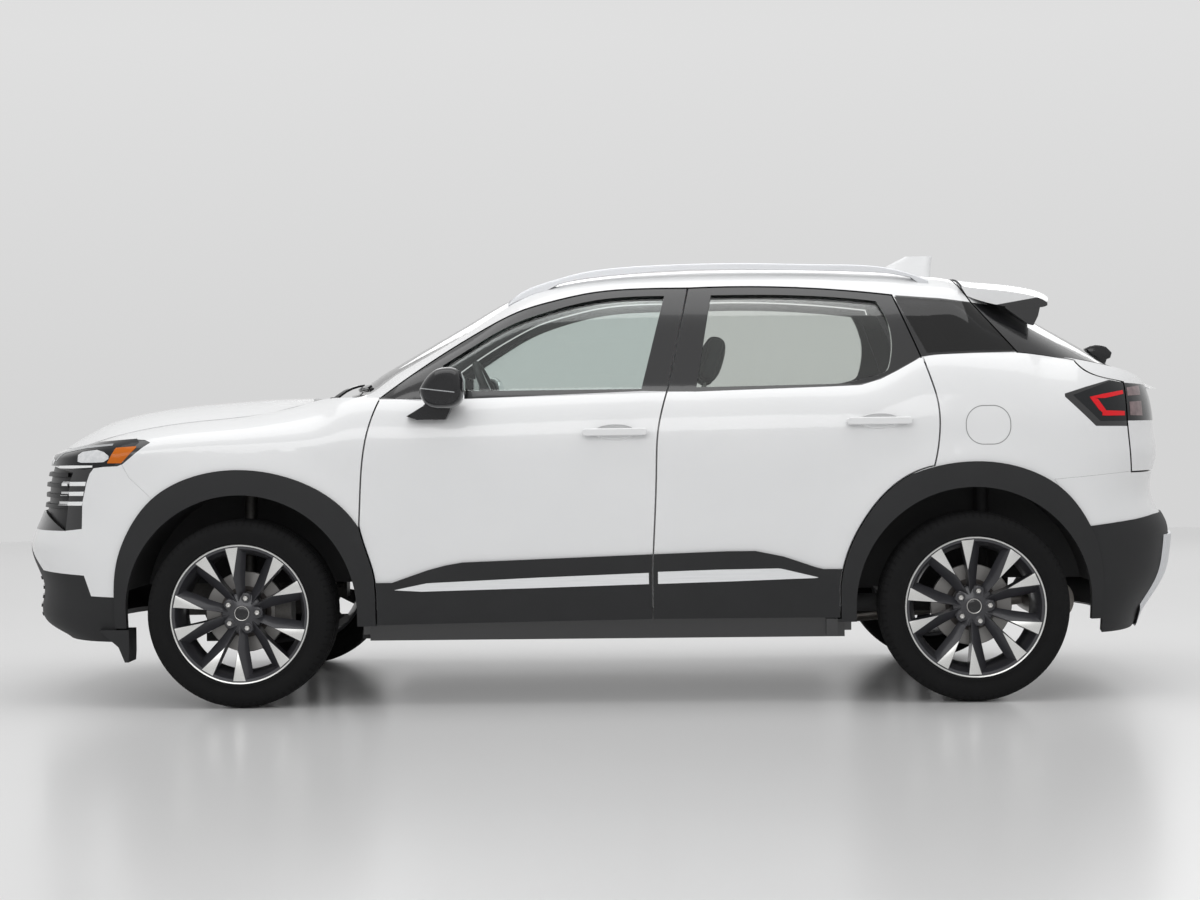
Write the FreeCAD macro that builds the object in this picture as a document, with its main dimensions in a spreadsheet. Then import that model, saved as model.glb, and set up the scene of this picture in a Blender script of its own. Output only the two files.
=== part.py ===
import FreeCAD, Part

import math
import os
import re
from types import SimpleNamespace

import Sketcher
from FreeCAD import Rotation, Vector

# Crossover with five doors, X to the front, Y to the left, Z up.
# The origin lies on the ground at the middle of its length.
# A station share counts lengthwise: 0 at the front axle, 1 at the rear axle, -1 at the nose, 2 at the tail.
# A level share counts the roof height from the ground, and a width share the half width from the middle.

SIZES = {
    # whole body
    "wheelbase": 2656,
    "front_overhang": 907,
    "rear_overhang": 803,
    "half_width": 900,
    "roof_height": 1605,
    "shut_gap": 6,
    "seat_gap": 0.3,
    "panel_thickness": 6,
    "overrun": 40,
    # wheels and tyres
    "tyre_radius": 342.5,
    "tyre_width": 225,
    "tyre_shoulder": 22,
    "tyre_bead_radius": 236,
    "wheel_centre_out": 782,
    "rim_radius": 254,
    "rim_width": 216.2,
    "barrel_radius": 222,
    "barrel_wall": 9,
    "rim_face_depth": 40,
    "rim_web": 34,
    "hub_radius": 74,
    "bolt_circle_radius": 57.15,
    "bolt_hole_radius": 10,
    "spoke_root_half": 16,
    "disc_radius": 148,
    "disc_thickness": 26,
    "disc_inset": 52,
    # wheel arches
    "arch_radius": 424,
    "arch_rise": 8,
    "cladding_out": 11,
    "cladding_in": 26,
    "flare_height": 14,
    "flare_inner": 470,
    "flare_outer": 640,
    "liner_clearance": 10,
    "liner_wall": 5,
    # doors
    "door_skin": 30,
    "door_depth": 105,
    "door_inset": 60,
    "frame_skin": 10,
    "frame_relief": 18,
    "door_frame_depth": 42,
    "aperture_gap": 24,
    "flange_start": 46,
    "flange_depth": 50,
    "cant_depth": 88,
    "glass_inset": 9,
    "glass_thickness": 5,
    # hood, roof and glass
    "hood_depth": 22,
    "hood_bow": 100,
    "hood_drop": 62,
    "screen_bow": 120,
    "tail_bow": 190,
    "roof_drop": 28,
    "roof_skin": 22,
    "fin_top_half": 7,
    # lamps and grille
    "lamp_depth": 28,
    "grille_recess": 14,
    "grille_depth": 26,
    # steering and running gear
    "kingpin_out": 680,
    "ball_joint_drop": 105,
    "kingpin_lean": 9.5,
    "strut_radius": 24,
    "strut_top": 860,
    "hub_carrier_radius": 60,
    "rear_beam_radius": 42,
    "steering_wheel_radius": 180,
    "steering_wheel_grip": 15,
    # floor and cabin
    "floor_level": 235,
    "floor_thickness": 30,
    "sill_inner": 715,
    "sill_width": 85,
    "sill_top": 328,
    "cabin_half": 690,
    "wheelhouse_in": 430,
    "rear_wheelhouse_in": 565,
    "rear_arm_out": 600,
    "kick_up": 165,
    "load_rise": 330,
    "firewall_thickness": 25,
    # seats
    "seat_width": 510,
    "seat_length": 520,
    "seat_height": 150,
    "seat_back_height": 640,
    "bench_back_height": 560,
    "seat_back_thickness": 120,
    "seat_middle": 370,
    "seat_hip_level": 640,
    "bench_hip_level": 620,
    "headrest_width": 250,
    "headrest_height": 190,
    "headrest_thickness": 90,
    # engine
    "engine_length": 520,
    "engine_width": 720,
    "engine_height": 520,
    "engine_bottom": 300,
    # number plate
    "plate_width": 320,
    "plate_height": 160,
    "plate_level": 928,
    "plate_hole_level": 988,
    "plate_hole_spacing": 177.8,
    "plate_hole_radius": 3,
    "plate_hole_depth": 20,
    # mirrors and handles
    "mirror_width": 205,
    "mirror_height": 148,
    "mirror_length": 158,
    "mirror_level": 1078,
    "mirror_foot": 62,
    "handle_length": 236,
    "handle_height": 27,
    "handle_thickness": 15,
    "handle_stand": 34,
    "grip_length": 76,
    "grip_height": 30,
    "grip_depth": 17,
    # fuel flap, fin and spoiler
    "flap_width": 157,
    "flap_height": 136,
    "flap_corner": 62,
    "groove_width": 2.6,
    "groove_depth": 2.2,
    "fin_foot_half": 34,
    "spoiler_crown": 46,
    "spoiler_sweep": 55,
    "gate_fin_half": 9,
    # rear wiper and the silver blade under the tail
    "wiper_cap_half": 30,
    "wiper_arm_radius": 6,
    "wiper_blade_radius": 5,
    "blade_thickness": 12,
    # rails
    "rail_width": 30,
    # exhaust
    "pipe_radius": 28,
    "muffler_radius": 95,
    "muffler_length": 520,
}

doc = FreeCAD.newDocument("crossover")
sheet = doc.addObject("Spreadsheet::Sheet", "sizes")
for row, (alias, number) in enumerate(SIZES.items(), 1):
    sheet.set(f"A{row}", alias)
    sheet.set(f"B{row}", str(number))
    sheet.setAlias(f"B{row}", alias)
doc.recompute()
mm = SimpleNamespace(**{alias: float(sheet.get(alias)) for alias in SIZES})
subparts = []


# stations, levels and tables of shares

def front_axle():
    return (mm.wheelbase + mm.rear_overhang - mm.front_overhang) / 2


def rear_axle():
    return front_axle() - mm.wheelbase


def station(share):
    if share < 0:
        return front_axle() - share * mm.front_overhang
    if share <= 1:
        return front_axle() - share * mm.wheelbase
    return rear_axle() - (share - 1) * mm.rear_overhang


def share_at(x):
    if x > front_axle():
        return (front_axle() - x) / mm.front_overhang
    if x > rear_axle():
        return (front_axle() - x) / mm.wheelbase
    return 1 + (rear_axle() - x) / mm.rear_overhang


def level(share):
    return share * mm.roof_height


def across(share):
    return share * mm.half_width


def rise_between(table, index):
    (start, low), (end, high) = table[index], table[index + 1]
    return (high - low) / (end - start)


def slope_at(table, index):
    """Slope of the smooth curve at one point of its table, zero where the table turns back."""
    if index == 0:
        return rise_between(table, 0)
    if index == len(table) - 1:
        return rise_between(table, index - 1)
    before = rise_between(table, index - 1)
    after = rise_between(table, index)
    if before * after <= 0:
        return 0.0
    return 2 * before * after / (before + after)


def curve(table, at):
    """Smooth curve through the table's points, level beyond its ends."""
    if at <= table[0][0]:
        return table[0][1]
    if at >= table[-1][0]:
        return table[-1][1]
    index = 0
    while table[index + 1][0] < at:
        index += 1
    (start, low), (end, high) = table[index], table[index + 1]
    run = end - start
    along = (at - start) / run
    rest = 1 - along
    return (low * (1 + 2 * along) * rest ** 2 + high * (3 - 2 * along) * along ** 2
            + run * along * rest * (slope_at(table, index) * rest - slope_at(table, index + 1) * along))


# form of the lower body: flanks, fender tops, nose and tail

WIDTH_SHARES = [(-0.42, 0.955), (-0.2, 0.966), (0, 0.971), (0.25, 0.972), (0.8, 0.972), (1, 0.97), (1.34, 0.955)]
SECTION_SHARES = [(0.13, 0.93), (0.18, 0.948), (0.25, 0.966), (0.33, 0.98), (0.42, 0.99), (0.5, 0.997),
                  (0.56, 1), (0.62, 0.998)]
NOSE_SHARES = [(0.143, -0.8), (0.159, -0.87), (0.189, -0.945), (0.206, -0.961), (0.224, -0.953),
               (0.244, -0.94), (0.312, -0.975), (0.358, -1), (0.377, -0.998), (0.402, -0.98), (0.436, -0.937),
               (0.498, -0.924), (0.539, -0.915), (0.556, -0.9), (0.58, -0.88), (0.6, -0.862)]
TAIL_SHARES = [(0.143, 1.82), (0.199, 1.874), (0.257, 1.961), (0.32, 1.996), (0.361, 2), (0.387, 1.995),
               (0.407, 1.97), (0.436, 1.939), (0.47, 1.922), (0.517, 1.936), (0.563, 1.959), (0.598, 1.943),
               (0.632, 1.918)]
SHOULDER_SHARES = [(-1, 0.55), (-0.42, 0.575), (0, 0.585), (0.5, 0.588), (1, 0.6), (1.34, 0.605), (2, 0.6)]
HOOD_SHARES = [(-0.95, 0.555), (-0.854, 0.596), (-0.785, 0.62), (-0.66, 0.654), (-0.505, 0.675),
               (-0.299, 0.69), (-0.094, 0.698), (0.038, 0.703), (0.091, 0.706), (0.123, 0.707)]
HOOD_HALF_SHARES = [(-0.42, 0.778), (-0.15, 0.778), (0, 0.767), (0.05, 0.742), (0.075, 0.72), (0.0915, 0.69)]
HOOD_DROP_SHARES = [(-0.42, 1), (0, 1), (0.05, 0.85), (0.0915, 0.45)]
TOP_HALF_SHARES = [(0.0915, 0.69), (0.11, 0.76), (0.13, 0.82), (0.155, 0.862), (0.193, 0.878), (0.311, 0.886),
                   (0.5, 0.896), (0.726, 0.896), (0.877, 0.882), (0.989, 0.855), (1.214, 0.822), (1.34, 0.8)]
BELT_SHARES = [(0.0915, 0.695), (0.145, 0.701), (0.193, 0.699), (0.243, 0.692), (0.311, 0.694), (0.55, 0.702),
               (0.707, 0.707), (0.824, 0.712), (0.863, 0.721), (0.889, 0.737), (0.933, 0.773), (0.962, 0.781),
               (1.059, 0.783), (1.205, 0.783), (1.34, 0.776), (1.49, 0.757), (1.65, 0.738), (1.8, 0.724), (2, 0.72)]
HOOD_NOSE_SHARE = -0.854
HOOD_TAIL_SHARE = 0.0915
TAIL_TOP_SHARE = 1.9
FRONT_TURN_SHARE = -0.42
REAR_TURN_SHARE = 1.34
BOTTOM_SHARE = 0.15
ROUNDNESS = 2.8
CROWN_ANGLE = math.radians(66)


def flare(x, z):
    """Swelling of the flank round each wheel."""
    away = min(math.hypot(x - axle, z - mm.tyre_radius) for axle in (front_axle(), rear_axle()))
    near = (mm.flare_outer - away) / (mm.flare_outer - mm.flare_inner)
    near = min(max(near, 0), 1)
    return mm.flare_height * near ** 2 * (3 - 2 * near)


def hood_level(x, y):
    half = across(HOOD_HALF_SHARES[0][1])
    off = abs(y) / half
    height = level(curve(HOOD_SHARES, share_at(x + mm.hood_bow * off ** 2)))
    return height - mm.hood_drop * curve(HOOD_DROP_SHARES, share_at(x)) * off ** 4


def turned(share):
    """Shares of the way out to the nose or tail and of the half width kept, round the corners."""
    if share < FRONT_TURN_SHARE:
        turn = (FRONT_TURN_SHARE - share) / (FRONT_TURN_SHARE + 1)
    elif share > REAR_TURN_SHARE:
        turn = (share - REAR_TURN_SHARE) / (2 - REAR_TURN_SHARE)
    else:
        return 0.0, 1.0
    angle = min(turn, 1) * math.pi / 2
    return math.sin(angle) ** (2 / ROUNDNESS), max(math.cos(angle), 0) ** (2 / ROUNDNESS)


def flank(share, z):
    """Point of the upright part of the body side, nose or tail."""
    onward, kept = turned(share)
    start_share = min(max(share, FRONT_TURN_SHARE), REAR_TURN_SHARE)
    start = station(start_share)
    end_shares = NOSE_SHARES if share < 0 else TAIL_SHARES
    x = start + (station(curve(end_shares, z / mm.roof_height)) - start) * onward
    half = across(curve(WIDTH_SHARES, start_share) * curve(SECTION_SHARES, z / mm.roof_height))
    return Vector(x, (half + flare(x, z)) * kept, z)


def top_edge(share):
    """Upper edge of the lower body: the hood's shut line, then the belt line, then the tail's edge."""
    onward, kept = turned(share)
    if share < FRONT_TURN_SHARE:
        start = station(FRONT_TURN_SHARE)
        x = start + (station(HOOD_NOSE_SHARE) + mm.shut_gap - start) * onward
        y = (across(HOOD_HALF_SHARES[0][1]) + mm.shut_gap) * kept
        return Vector(x, y, hood_level(x, y))
    if share <= HOOD_TAIL_SHARE:
        x = station(share)
        y = across(curve(HOOD_HALF_SHARES, share)) + mm.shut_gap
        return Vector(x, y, hood_level(x, y))
    start_share = min(share, REAR_TURN_SHARE)
    start = station(start_share)
    x = start + (station(TAIL_TOP_SHARE) - start) * onward
    return Vector(x, across(curve(TOP_HALF_SHARES, start_share)) * kept, level(curve(BELT_SHARES, share)))


def skin_point(share, row):
    """Point of the lower body: row runs from -1 at the bottom over 0 at the shoulder to 1 at the top edge."""
    shoulder = level(curve(SHOULDER_SHARES, share))
    if row <= 0:
        bottom = level(BOTTOM_SHARE)
        return flank(share, bottom + (shoulder - bottom) * (row + 1))
    base = flank(share, shoulder)
    top = top_edge(share)
    inward = (1 - math.cos(row * CROWN_ANGLE)) / (1 - math.cos(CROWN_ANGLE))
    upward = math.sin(row * CROWN_ANGLE) / math.sin(CROWN_ANGLE)
    return Vector(base.x + (top.x - base.x) * inward, base.y + (top.y - base.y) * inward,
                  base.z + (top.z - base.z) * upward)


# form of the upper body: windscreen, roof, rear window and the glazed sides

CROWN_SHARES = [(0, 0.7), (0.09, 0.7), (0.104, 0.702), (0.118, 0.708), (0.1638, 0.759), (0.1826, 0.777),
                (0.2364, 0.828), (0.289, 0.877), (0.345, 0.929), (0.387, 0.958), (0.4386, 0.977),
                (0.479, 0.986), (0.551, 0.995), (0.658, 1), (0.765, 0.998), (0.898, 0.988), (1, 0.97),
                (1.15, 0.945), (1.29, 0.908), (1.42, 0.868), (1.672, 0.794), (1.827, 0.746), (1.92, 0.722),
                (2.1, 0.68), (2.4, 0.6)]
BOW_SHARES = [(0.3, 1), (0.6, 0), (0.9, 0), (1.1, -1)]
PLAN_SHARES = [(0, 0.86), (0.193, 0.868), (0.311, 0.877), (0.5, 0.886), (0.726, 0.886), (0.877, 0.872),
               (0.989, 0.846), (1.214, 0.813), (1.463, 0.775), (1.787, 0.71), (2, 0.67)]
LEAN_SHARES = [(0.66, 0), (0.7, 0.003), (0.776, 0.052), (0.85, 0.108), (0.925, 0.186), (1, 0.285)]
BOW_HALF_SHARE = 0.69
CORNER_POWER = 14
RAY_BASE_SHARE = 0.56
FIRST_RAY = math.radians(11)
RAY_STEPS = 26


def glazed_half(x, z):
    """Half width of the glazed upper body."""
    return across(curve(PLAN_SHARES, share_at(x)) - curve(LEAN_SHARES, z / mm.roof_height))


def bow(share):
    pull = curve(BOW_SHARES, share)
    return mm.screen_bow * max(pull, 0) + mm.tail_bow * min(pull, 0)


def crown_level(x, y):
    """Level of windscreen, roof and rear window."""
    off = y / across(BOW_HALF_SHARE)
    height = level(curve(CROWN_SHARES, share_at(x + bow(share_at(x)) * off ** 2)))
    belt = level(CROWN_SHARES[0][1])
    return height - mm.roof_drop * off ** 2 * (height - belt) / (mm.roof_height - belt)


def upper_point(share, angle):
    """Point of the upper body where a ray from low on the centre plane meets it, its corner rounded."""
    x = station(share)
    base = level(RAY_BASE_SHARE)
    near, far = 0.0, mm.roof_height
    for _ in range(34):
        reach = (near + far) / 2
        y = reach * math.cos(angle)
        rise = reach * math.sin(angle)
        roof = max(crown_level(x, y) - base, mm.shut_gap)
        side = glazed_half(x, base + rise)
        inside = (abs(y) / side) ** CORNER_POWER + (rise / roof) ** CORNER_POWER
        if inside > 1:
            far = reach
        else:
            near = reach
    return Vector(x, near * math.cos(angle), base + near * math.sin(angle))


# surfaces and slabs

def surface_face(rows):
    surface = Part.BSplineSurface()
    surface.interpolate(rows)
    return surface.toShape()


def closed_solid(outer_rows, inner_rows):
    """Solid between two like grids of points."""
    outer = surface_face(outer_rows)
    inner = surface_face(inner_rows)
    rims = [Part.makeRuledSurface(first, second) for first, second in zip(outer.Edges, inner.Edges)]
    shell = Part.makeShell([outer, inner] + rims)
    shell.sewShape()
    solid = Part.makeSolid(shell)
    if solid.Volume < 0:
        solid.reverse()
    return solid


def grid_normal(rows, i, j):
    """Direction square to a grid of points, by its neighbours."""
    along = rows[min(i + 1, len(rows) - 1)][j] - rows[max(i - 1, 0)][j]
    up = rows[i][min(j + 1, len(rows[i]) - 1)] - rows[i][max(j - 1, 0)]
    return up.cross(along).normalize()


def layer(rows, depth):
    """The grid moved inward by depth."""
    return [[point - grid_normal(rows, i, j) * depth for j, point in enumerate(row)] for i, row in enumerate(rows)]


slabs_made = {}


def slab(rows, outer_depth, inner_depth):
    """Solid between two depths under a grid, each made once."""
    key = (id(rows), outer_depth, inner_depth)
    if key not in slabs_made:
        slabs_made[key] = closed_solid(layer(rows, outer_depth), layer(rows, inner_depth))
    return slabs_made[key]


def sunk(rows, depth):
    """The grid moved straight towards the centre plane."""
    return [[point - Vector(0, depth, 0) for point in row] for row in rows]


def spread(first, last, count):
    return [first + (last - first) * step / (count - 1) for step in range(count)]


LOWER_ROWS = [-1, -0.93, -0.84, -0.72, -0.6, -0.48, -0.36, -0.24, -0.12, 0]
UPPER_ROWS = [0.16, 0.32, 0.48, 0.64, 0.8, 0.92, 1]
FRONT_TURNS = spread(-1, FRONT_TURN_SHARE, 10)
REAR_TURNS = spread(REAR_TURN_SHARE, 2, 10)


def skin_rows(shares):
    """Grid of the lower body's left side, from rear to front, so that its normals point outward."""
    return [[skin_point(share, row) for row in LOWER_ROWS + UPPER_ROWS] for share in shares]


def mirrored(rows):
    return [[Vector(point.x, -point.y, point.z) for point in row] for row in rows]


def round_rows(turns, side_shares):
    """Grid right round the nose or the tail, normals outward."""
    left = skin_rows(side_shares + turns[::-1] if turns is FRONT_TURNS else side_shares + turns)
    right = mirrored(left[:-1])[::-1]
    rows = left + right
    return rows if turns is FRONT_TURNS else rows[::-1]


SIDE_SHARES = spread(REAR_TURN_SHARE, 1, 7)[:-1] + spread(1, 0, 31)[:-1] + spread(0, FRONT_TURN_SHARE, 7)
side_rows = skin_rows(REAR_TURNS[:7][::-1][:-1] + SIDE_SHARES + FRONT_TURNS[::-1][1:7])
nose_rows = round_rows(FRONT_TURNS, spread(0.1, FRONT_TURN_SHARE, 9)[:-1])
tail_rows = round_rows(REAR_TURNS, spread(0.9, REAR_TURN_SHARE, 8)[:-1])
RAYS = spread(FIRST_RAY, math.pi - FIRST_RAY, 2 * RAY_STEPS + 1)
UPPER_SHARES = (spread(1.985, 1, 16)[:-1] + spread(1, 0.45, 13)[:-1] + spread(0.45, 0.06, 17))
upper_rows = [[upper_point(share, angle) for angle in RAYS] for share in UPPER_SHARES]
hood_rows = [[Vector(station(share), across(0.84) * side, hood_level(station(share), across(0.84) * side))
              for side in spread(1, -1, 21)] for share in spread(0.16, -0.93, 21)]


# outlines in side view and prisms through the car

def side_view(points):
    """Points of a side view, given as station and level shares."""
    return [(station(along), level(up)) for along, up in points]


def grown(outline, distance):
    """Outline of several stretches moved outward by distance, its corners mitred."""
    loop = [point for stretch in outline for point in stretch[:-1]]
    count = len(loop)
    area = sum(loop[i][0] * loop[(i + 1) % count][1] - loop[(i + 1) % count][0] * loop[i][1] for i in range(count))
    turn = math.copysign(1, area)
    moved = []
    for i, (x, z) in enumerate(loop):
        sides = []
        for (x0, z0), (x1, z1) in ((loop[i - 1], loop[i]), (loop[i], loop[(i + 1) % count])):
            length = math.hypot(x1 - x0, z1 - z0)
            sides.append(((z1 - z0) / length * turn, (x0 - x1) / length * turn))
        (a, b), (c, d) = sides
        reach = distance / max(1 + a * c + b * d, 0.2)
        moved.append((x + (a + c) * reach, z + (b + d) * reach))
    result = []
    at = 0
    for stretch in outline:
        result.append([moved[(at + step) % count] for step in range(len(stretch))])
        at += len(stretch) - 1
    return result


def wire_of(outline, place_point):
    """Closed wire; a stretch of two points is straight, and one of more is a smooth curve."""
    edges = []
    for stretch in outline:
        points = [place_point(first, second) for first, second in stretch]
        if len(points) == 2:
            edges.append(Part.LineSegment(*points).toShape())
        else:
            bend = Part.BSplineCurve()
            bend.interpolate(points)
            edges.append(bend.toShape())
    return Part.Wire(edges)


def side_prism(outline, right=0, left=None):
    """Prism of a side-view outline between two planes."""
    left = 2 * mm.half_width if left is None else left
    wire = wire_of(outline, lambda x, z: Vector(x, right, z))
    return Part.Face(wire).extrude(Vector(0, left - right, 0))


def through_prism(outline):
    return side_prism(outline, -2 * mm.half_width, 2 * mm.half_width)


def plan_prism(outline, bottom, top):
    """Prism of a plan outline between two levels."""
    wire = wire_of(outline, lambda x, y: Vector(x, y, bottom))
    return Part.Face(wire).extrude(Vector(0, 0, top - bottom))


def straight(points):
    """Outline of straight stretches only."""
    return [[points[i], points[(i + 1) % len(points)]] for i in range(len(points))]


def box(x0, x1, y0, y1, z0, z1):
    return Part.makeBox(x1 - x0, y1 - y0, z1 - z0, Vector(x0, y0, z0))


def mirror(shape):
    return shape.mirror(Vector(0, 0, 0), Vector(0, 1, 0))


def rod(start, end, radius):
    way = end - start
    return Part.makeCylinder(radius, way.Length, start, way)


def joined(shapes):
    whole = shapes[0].multiFuse(shapes[1:])
    return whole.removeSplitter()


def group(shapes):
    return Part.makeCompound(shapes)


# outlines of doors, windows, arches, lamps and bumpers

ARCH_SHARES = [(-1.16, -0.3), (-1.16, -0.1), (-1.145, 0.34), (-1.06, 0.67), (-0.86, 0.93), (-0.43, 1.165),
               (0, 1.235), (0.41, 1.175), (0.75, 0.99), (0.96, 0.72), (1.065, 0.46), (1.1, 0.17), (1.1, -0.3)]
FRONT_DOOR_SHARES = [
    [(0.186, 0.182), (0.186, 0.249), (0.1835, 0.299), (0.178, 0.333), (0.1685, 0.383), (0.1645, 0.411)],
    [(0.1645, 0.411), (0.167, 0.498), (0.172, 0.58), (0.181, 0.645), (0.186, 0.67), (0.193, 0.701)],
    [(0.193, 0.701), (0.275, 0.797), (0.345, 0.866), (0.383, 0.896), (0.426, 0.917), (0.479, 0.936),
     (0.551, 0.945), (0.617, 0.945)],
    [(0.617, 0.945), (0.588, 0.713)],
    [(0.588, 0.713), (0.58, 0.667), (0.574, 0.618), (0.571, 0.53), (0.568, 0.416), (0.5655, 0.343), (0.564, 0.299)],
    [(0.564, 0.299), (0.564, 0.19)],
    [(0.564, 0.19), (0.186, 0.182)]]
REAR_DOOR_SHARES = [
    [(0.564, 0.19), (0.564, 0.299)],
    [(0.564, 0.299), (0.5655, 0.343), (0.568, 0.416), (0.571, 0.53), (0.574, 0.618), (0.58, 0.667), (0.588, 0.713)],
    [(0.588, 0.713), (0.617, 0.945)],
    [(0.617, 0.945), (0.737, 0.945), (0.817, 0.937), (0.901, 0.922)],
    [(0.901, 0.922), (0.936, 0.778)],
    [(0.936, 0.778), (0.945, 0.727), (0.953, 0.677), (0.955, 0.61), (0.947, 0.531)],
    [(0.947, 0.531), (0.8915, 0.488), (0.853, 0.416), (0.826, 0.324), (0.8185, 0.252)],
    [(0.8185, 0.252), (0.819, 0.19)],
    [(0.819, 0.19), (0.564, 0.19)]]
FRONT_WINDOW_SHARES = [
    [(0.276, 0.7115), (0.277, 0.771)],
    [(0.277, 0.771), (0.32, 0.816), (0.373, 0.865), (0.427, 0.896), (0.48, 0.917), (0.551, 0.927), (0.584, 0.927)],
    [(0.584, 0.927), (0.5515, 0.7115)],
    [(0.5515, 0.7115), (0.276, 0.7115)]]
REAR_WINDOW_SHARES = [
    [(0.627, 0.7135), (0.649, 0.927)],
    [(0.649, 0.927), (0.736, 0.926), (0.801, 0.921), (0.878, 0.908)],
    [(0.878, 0.908), (0.893, 0.857), (0.892, 0.757)],
    [(0.892, 0.757), (0.889, 0.7475), (0.868, 0.734), (0.84, 0.7225), (0.802, 0.717)],
    [(0.802, 0.717), (0.627, 0.7135)]]
QUARTER_WINDOW_SHARES = [
    [(0.904, 0.918), (0.941, 0.913), (1.031, 0.902)],
    [(1.031, 0.902), (1.223, 0.79)],
    [(1.223, 0.79), (1.059, 0.79), (0.945, 0.786)],
    [(0.945, 0.786), (0.904, 0.918)]]
TAILGATE_SHARES = [
    [(0.987, 1.1), (0.987, 0.972)],
    [(0.987, 0.972), (1.044, 0.903)],
    [(1.044, 0.903), (1.238, 0.786)],
    [(1.238, 0.786), (1.35, 0.779), (1.481, 0.766)],
    [(1.481, 0.766), (1.53, 0.74), (1.6, 0.726), (1.711, 0.715)],
    [(1.711, 0.715), (1.711, 0.628)],
    [(1.711, 0.628), (1.731, 0.512)],
    [(1.731, 0.512), (2.2, 0.512)],
    [(2.2, 0.512), (2.2, 1.1)],
    [(2.2, 1.1), (0.987, 1.1)]]
HEADLAMP_SHARES = [(-1.1, 0.552), (-0.792, 0.552), (-0.632, 0.544), (-0.503, 0.553), (-0.407, 0.604),
                   (-0.421, 0.613), (-0.6, 0.606), (-0.72, 0.59), (-0.8, 0.578), (-1.1, 0.578)]
GRILLE_SHARES = [(-1.1, 0.55), (-0.79, 0.55), (-0.684, 0.537), (-0.7, 0.517), (-0.723, 0.403), (-0.849, 0.444),
                 (-1.1, 0.447)]
FENDER_SPLIT_SHARES = [(-0.3, 0.45), (-0.444, 0.525), (-0.49, 0.575), (-0.62, 0.6), (-0.64, 0.8)]
LOWER_FRONT_SHARES = [(-1.1, 0.392), (-0.975, 0.38), (-0.858, 0.309), (-0.643, 0.302), (-0.614, 0.255),
                      (-0.498, 0.252), (-0.4, 0.252), (-0.4, 0.1), (-1.1, 0.1)]
CLADDING_SHARES = [(0.15, 0.2805), (0.208, 0.28), (0.2577, 0.308), (0.281, 0.318), (0.3046, 0.3246), (0.564, 0.3386),
                   (0.666, 0.3436), (0.704, 0.3436), (0.742, 0.3305), (0.785, 0.306), (0.796, 0.3015), (0.85, 0.301)]
CLADDING_LOW_SHARES = [(0.9, 0.1), (0.1, 0.1)]
TAIL_LAMP_SHARES = [(1.453, 0.685), (1.573, 0.626), (1.711, 0.626), (1.711, 0.715), (1.639, 0.717)]
INNER_LAMP_SHARES = [(1.711, 0.626), (2.2, 0.626), (2.2, 0.7), (1.711, 0.712)]
REAR_COVER_SHARES = [(1.36, 0.497), (1.731, 0.512), (2.2, 0.514), (2.2, 0.415), (1.854, 0.411), (1.743, 0.403),
                     (1.5, 0.39)]
REAR_LOWER_SHARES = [(1.5, 0.39), (1.743, 0.403), (1.854, 0.411), (2.2, 0.415), (2.2, 0.12), (1.5, 0.12)]
QUARTER_KEEP_SHARES = [(0.8, 0.15), (0.8, 0.99), (1.75, 0.99), (1.75, 0.5), (1.36, 0.497), (1.5, 0.39), (1.5, 0.15)]
RING_KEEP_SHARES = [(0.13, 0.16), (0.13, 0.69), (0.6, 0.7), (0.85, 0.7), (1.0, 0.76), (1.0, 0.5), (0.87, 0.43),
                    (0.84, 0.16)]
CANT_KEEP_SHARES = [(0.1, 0.7), (0.1, 1.1), (1.3, 1.1), (1.5, 0.78), (1.3, 0.775), (0.93, 0.765), (0.6, 0.7)]
POST_SHARES = [(0.565, 0.6), (0.6, 0.95), (0.645, 0.95), (0.612, 0.6)]
BEHIND_FENDER_SHARES = [(0.18, 0.1), (0.18, 0.62), (0.21, 0.75), (0.35, 0.9), (0.6, 0.9), (0.6, 0.1)]
DOOR_BELOW_SHARES = [(0, 0.1), (0, 0.7), (0.2, 0.69), (0.83, 0.69), (0.95, 0.72), (1.2, 0.72), (1.2, 0.1)]
DOOR_ABOVE_SHARES = [(0, 0.672), (1.3, 0.672), (1.3, 1.1), (0, 1.1)]
GRILLE_BAR_SHARES = [0.527, 0.503, 0.479, 0.455]
GRILLE_BAR_HEIGHT_SHARE = 0.009
GRILLE_BAR_END_SHARE = -0.71
NOSE_END_SHARE = -1.1
LAMP_INNER_HALF_SHARE = 0.42
TAIL_LAMP_INNER_HALF_SHARE = 0.5
DASHBOARD_SHARES = [(0.2, 0.65), (0.2, 0.685), (0.27, 0.68), (0.29, 0.63), (0.27, 0.55), (0.24, 0.5)]
DASHBOARD_FRONT_SHARES = (0.5, 0.65)
FIREWALL_SHARE = 0.16
FIREWALL_TOP_SHARE = 0.655


def door_outline(shares):
    return [side_view(stretch) for stretch in shares]


front_door_outline = door_outline(FRONT_DOOR_SHARES)
rear_door_outline = door_outline(REAR_DOOR_SHARES)
tailgate_outline = door_outline(TAILGATE_SHARES)


def arch_outline(axle, towards_doors):
    """Outer edge of an arch's cladding, its door side towards the middle of the car."""
    points = [(axle + towards_doors * along * mm.arch_radius, mm.tyre_radius + up * mm.arch_radius)
              for along, up in ARCH_SHARES]
    return [points, [points[-1], points[0]]]


def arch_hole(axle, grow=0.0):
    """Wheel opening in side view, open downward."""
    centre = Vector(axle, 0, mm.tyre_radius + mm.arch_rise)
    radius = mm.arch_radius + grow
    disc = Part.makeCylinder(radius, 4 * mm.half_width, centre - Vector(0, 2 * mm.half_width, 0), Vector(0, 1, 0))
    skirt = box(axle - radius, axle + radius, -2 * mm.half_width, 2 * mm.half_width, -mm.overrun, centre.z)
    return disc.fuse(skirt)


front_arch = arch_outline(front_axle(), 1)
rear_arch = arch_outline(rear_axle(), -1)


# document objects

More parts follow.
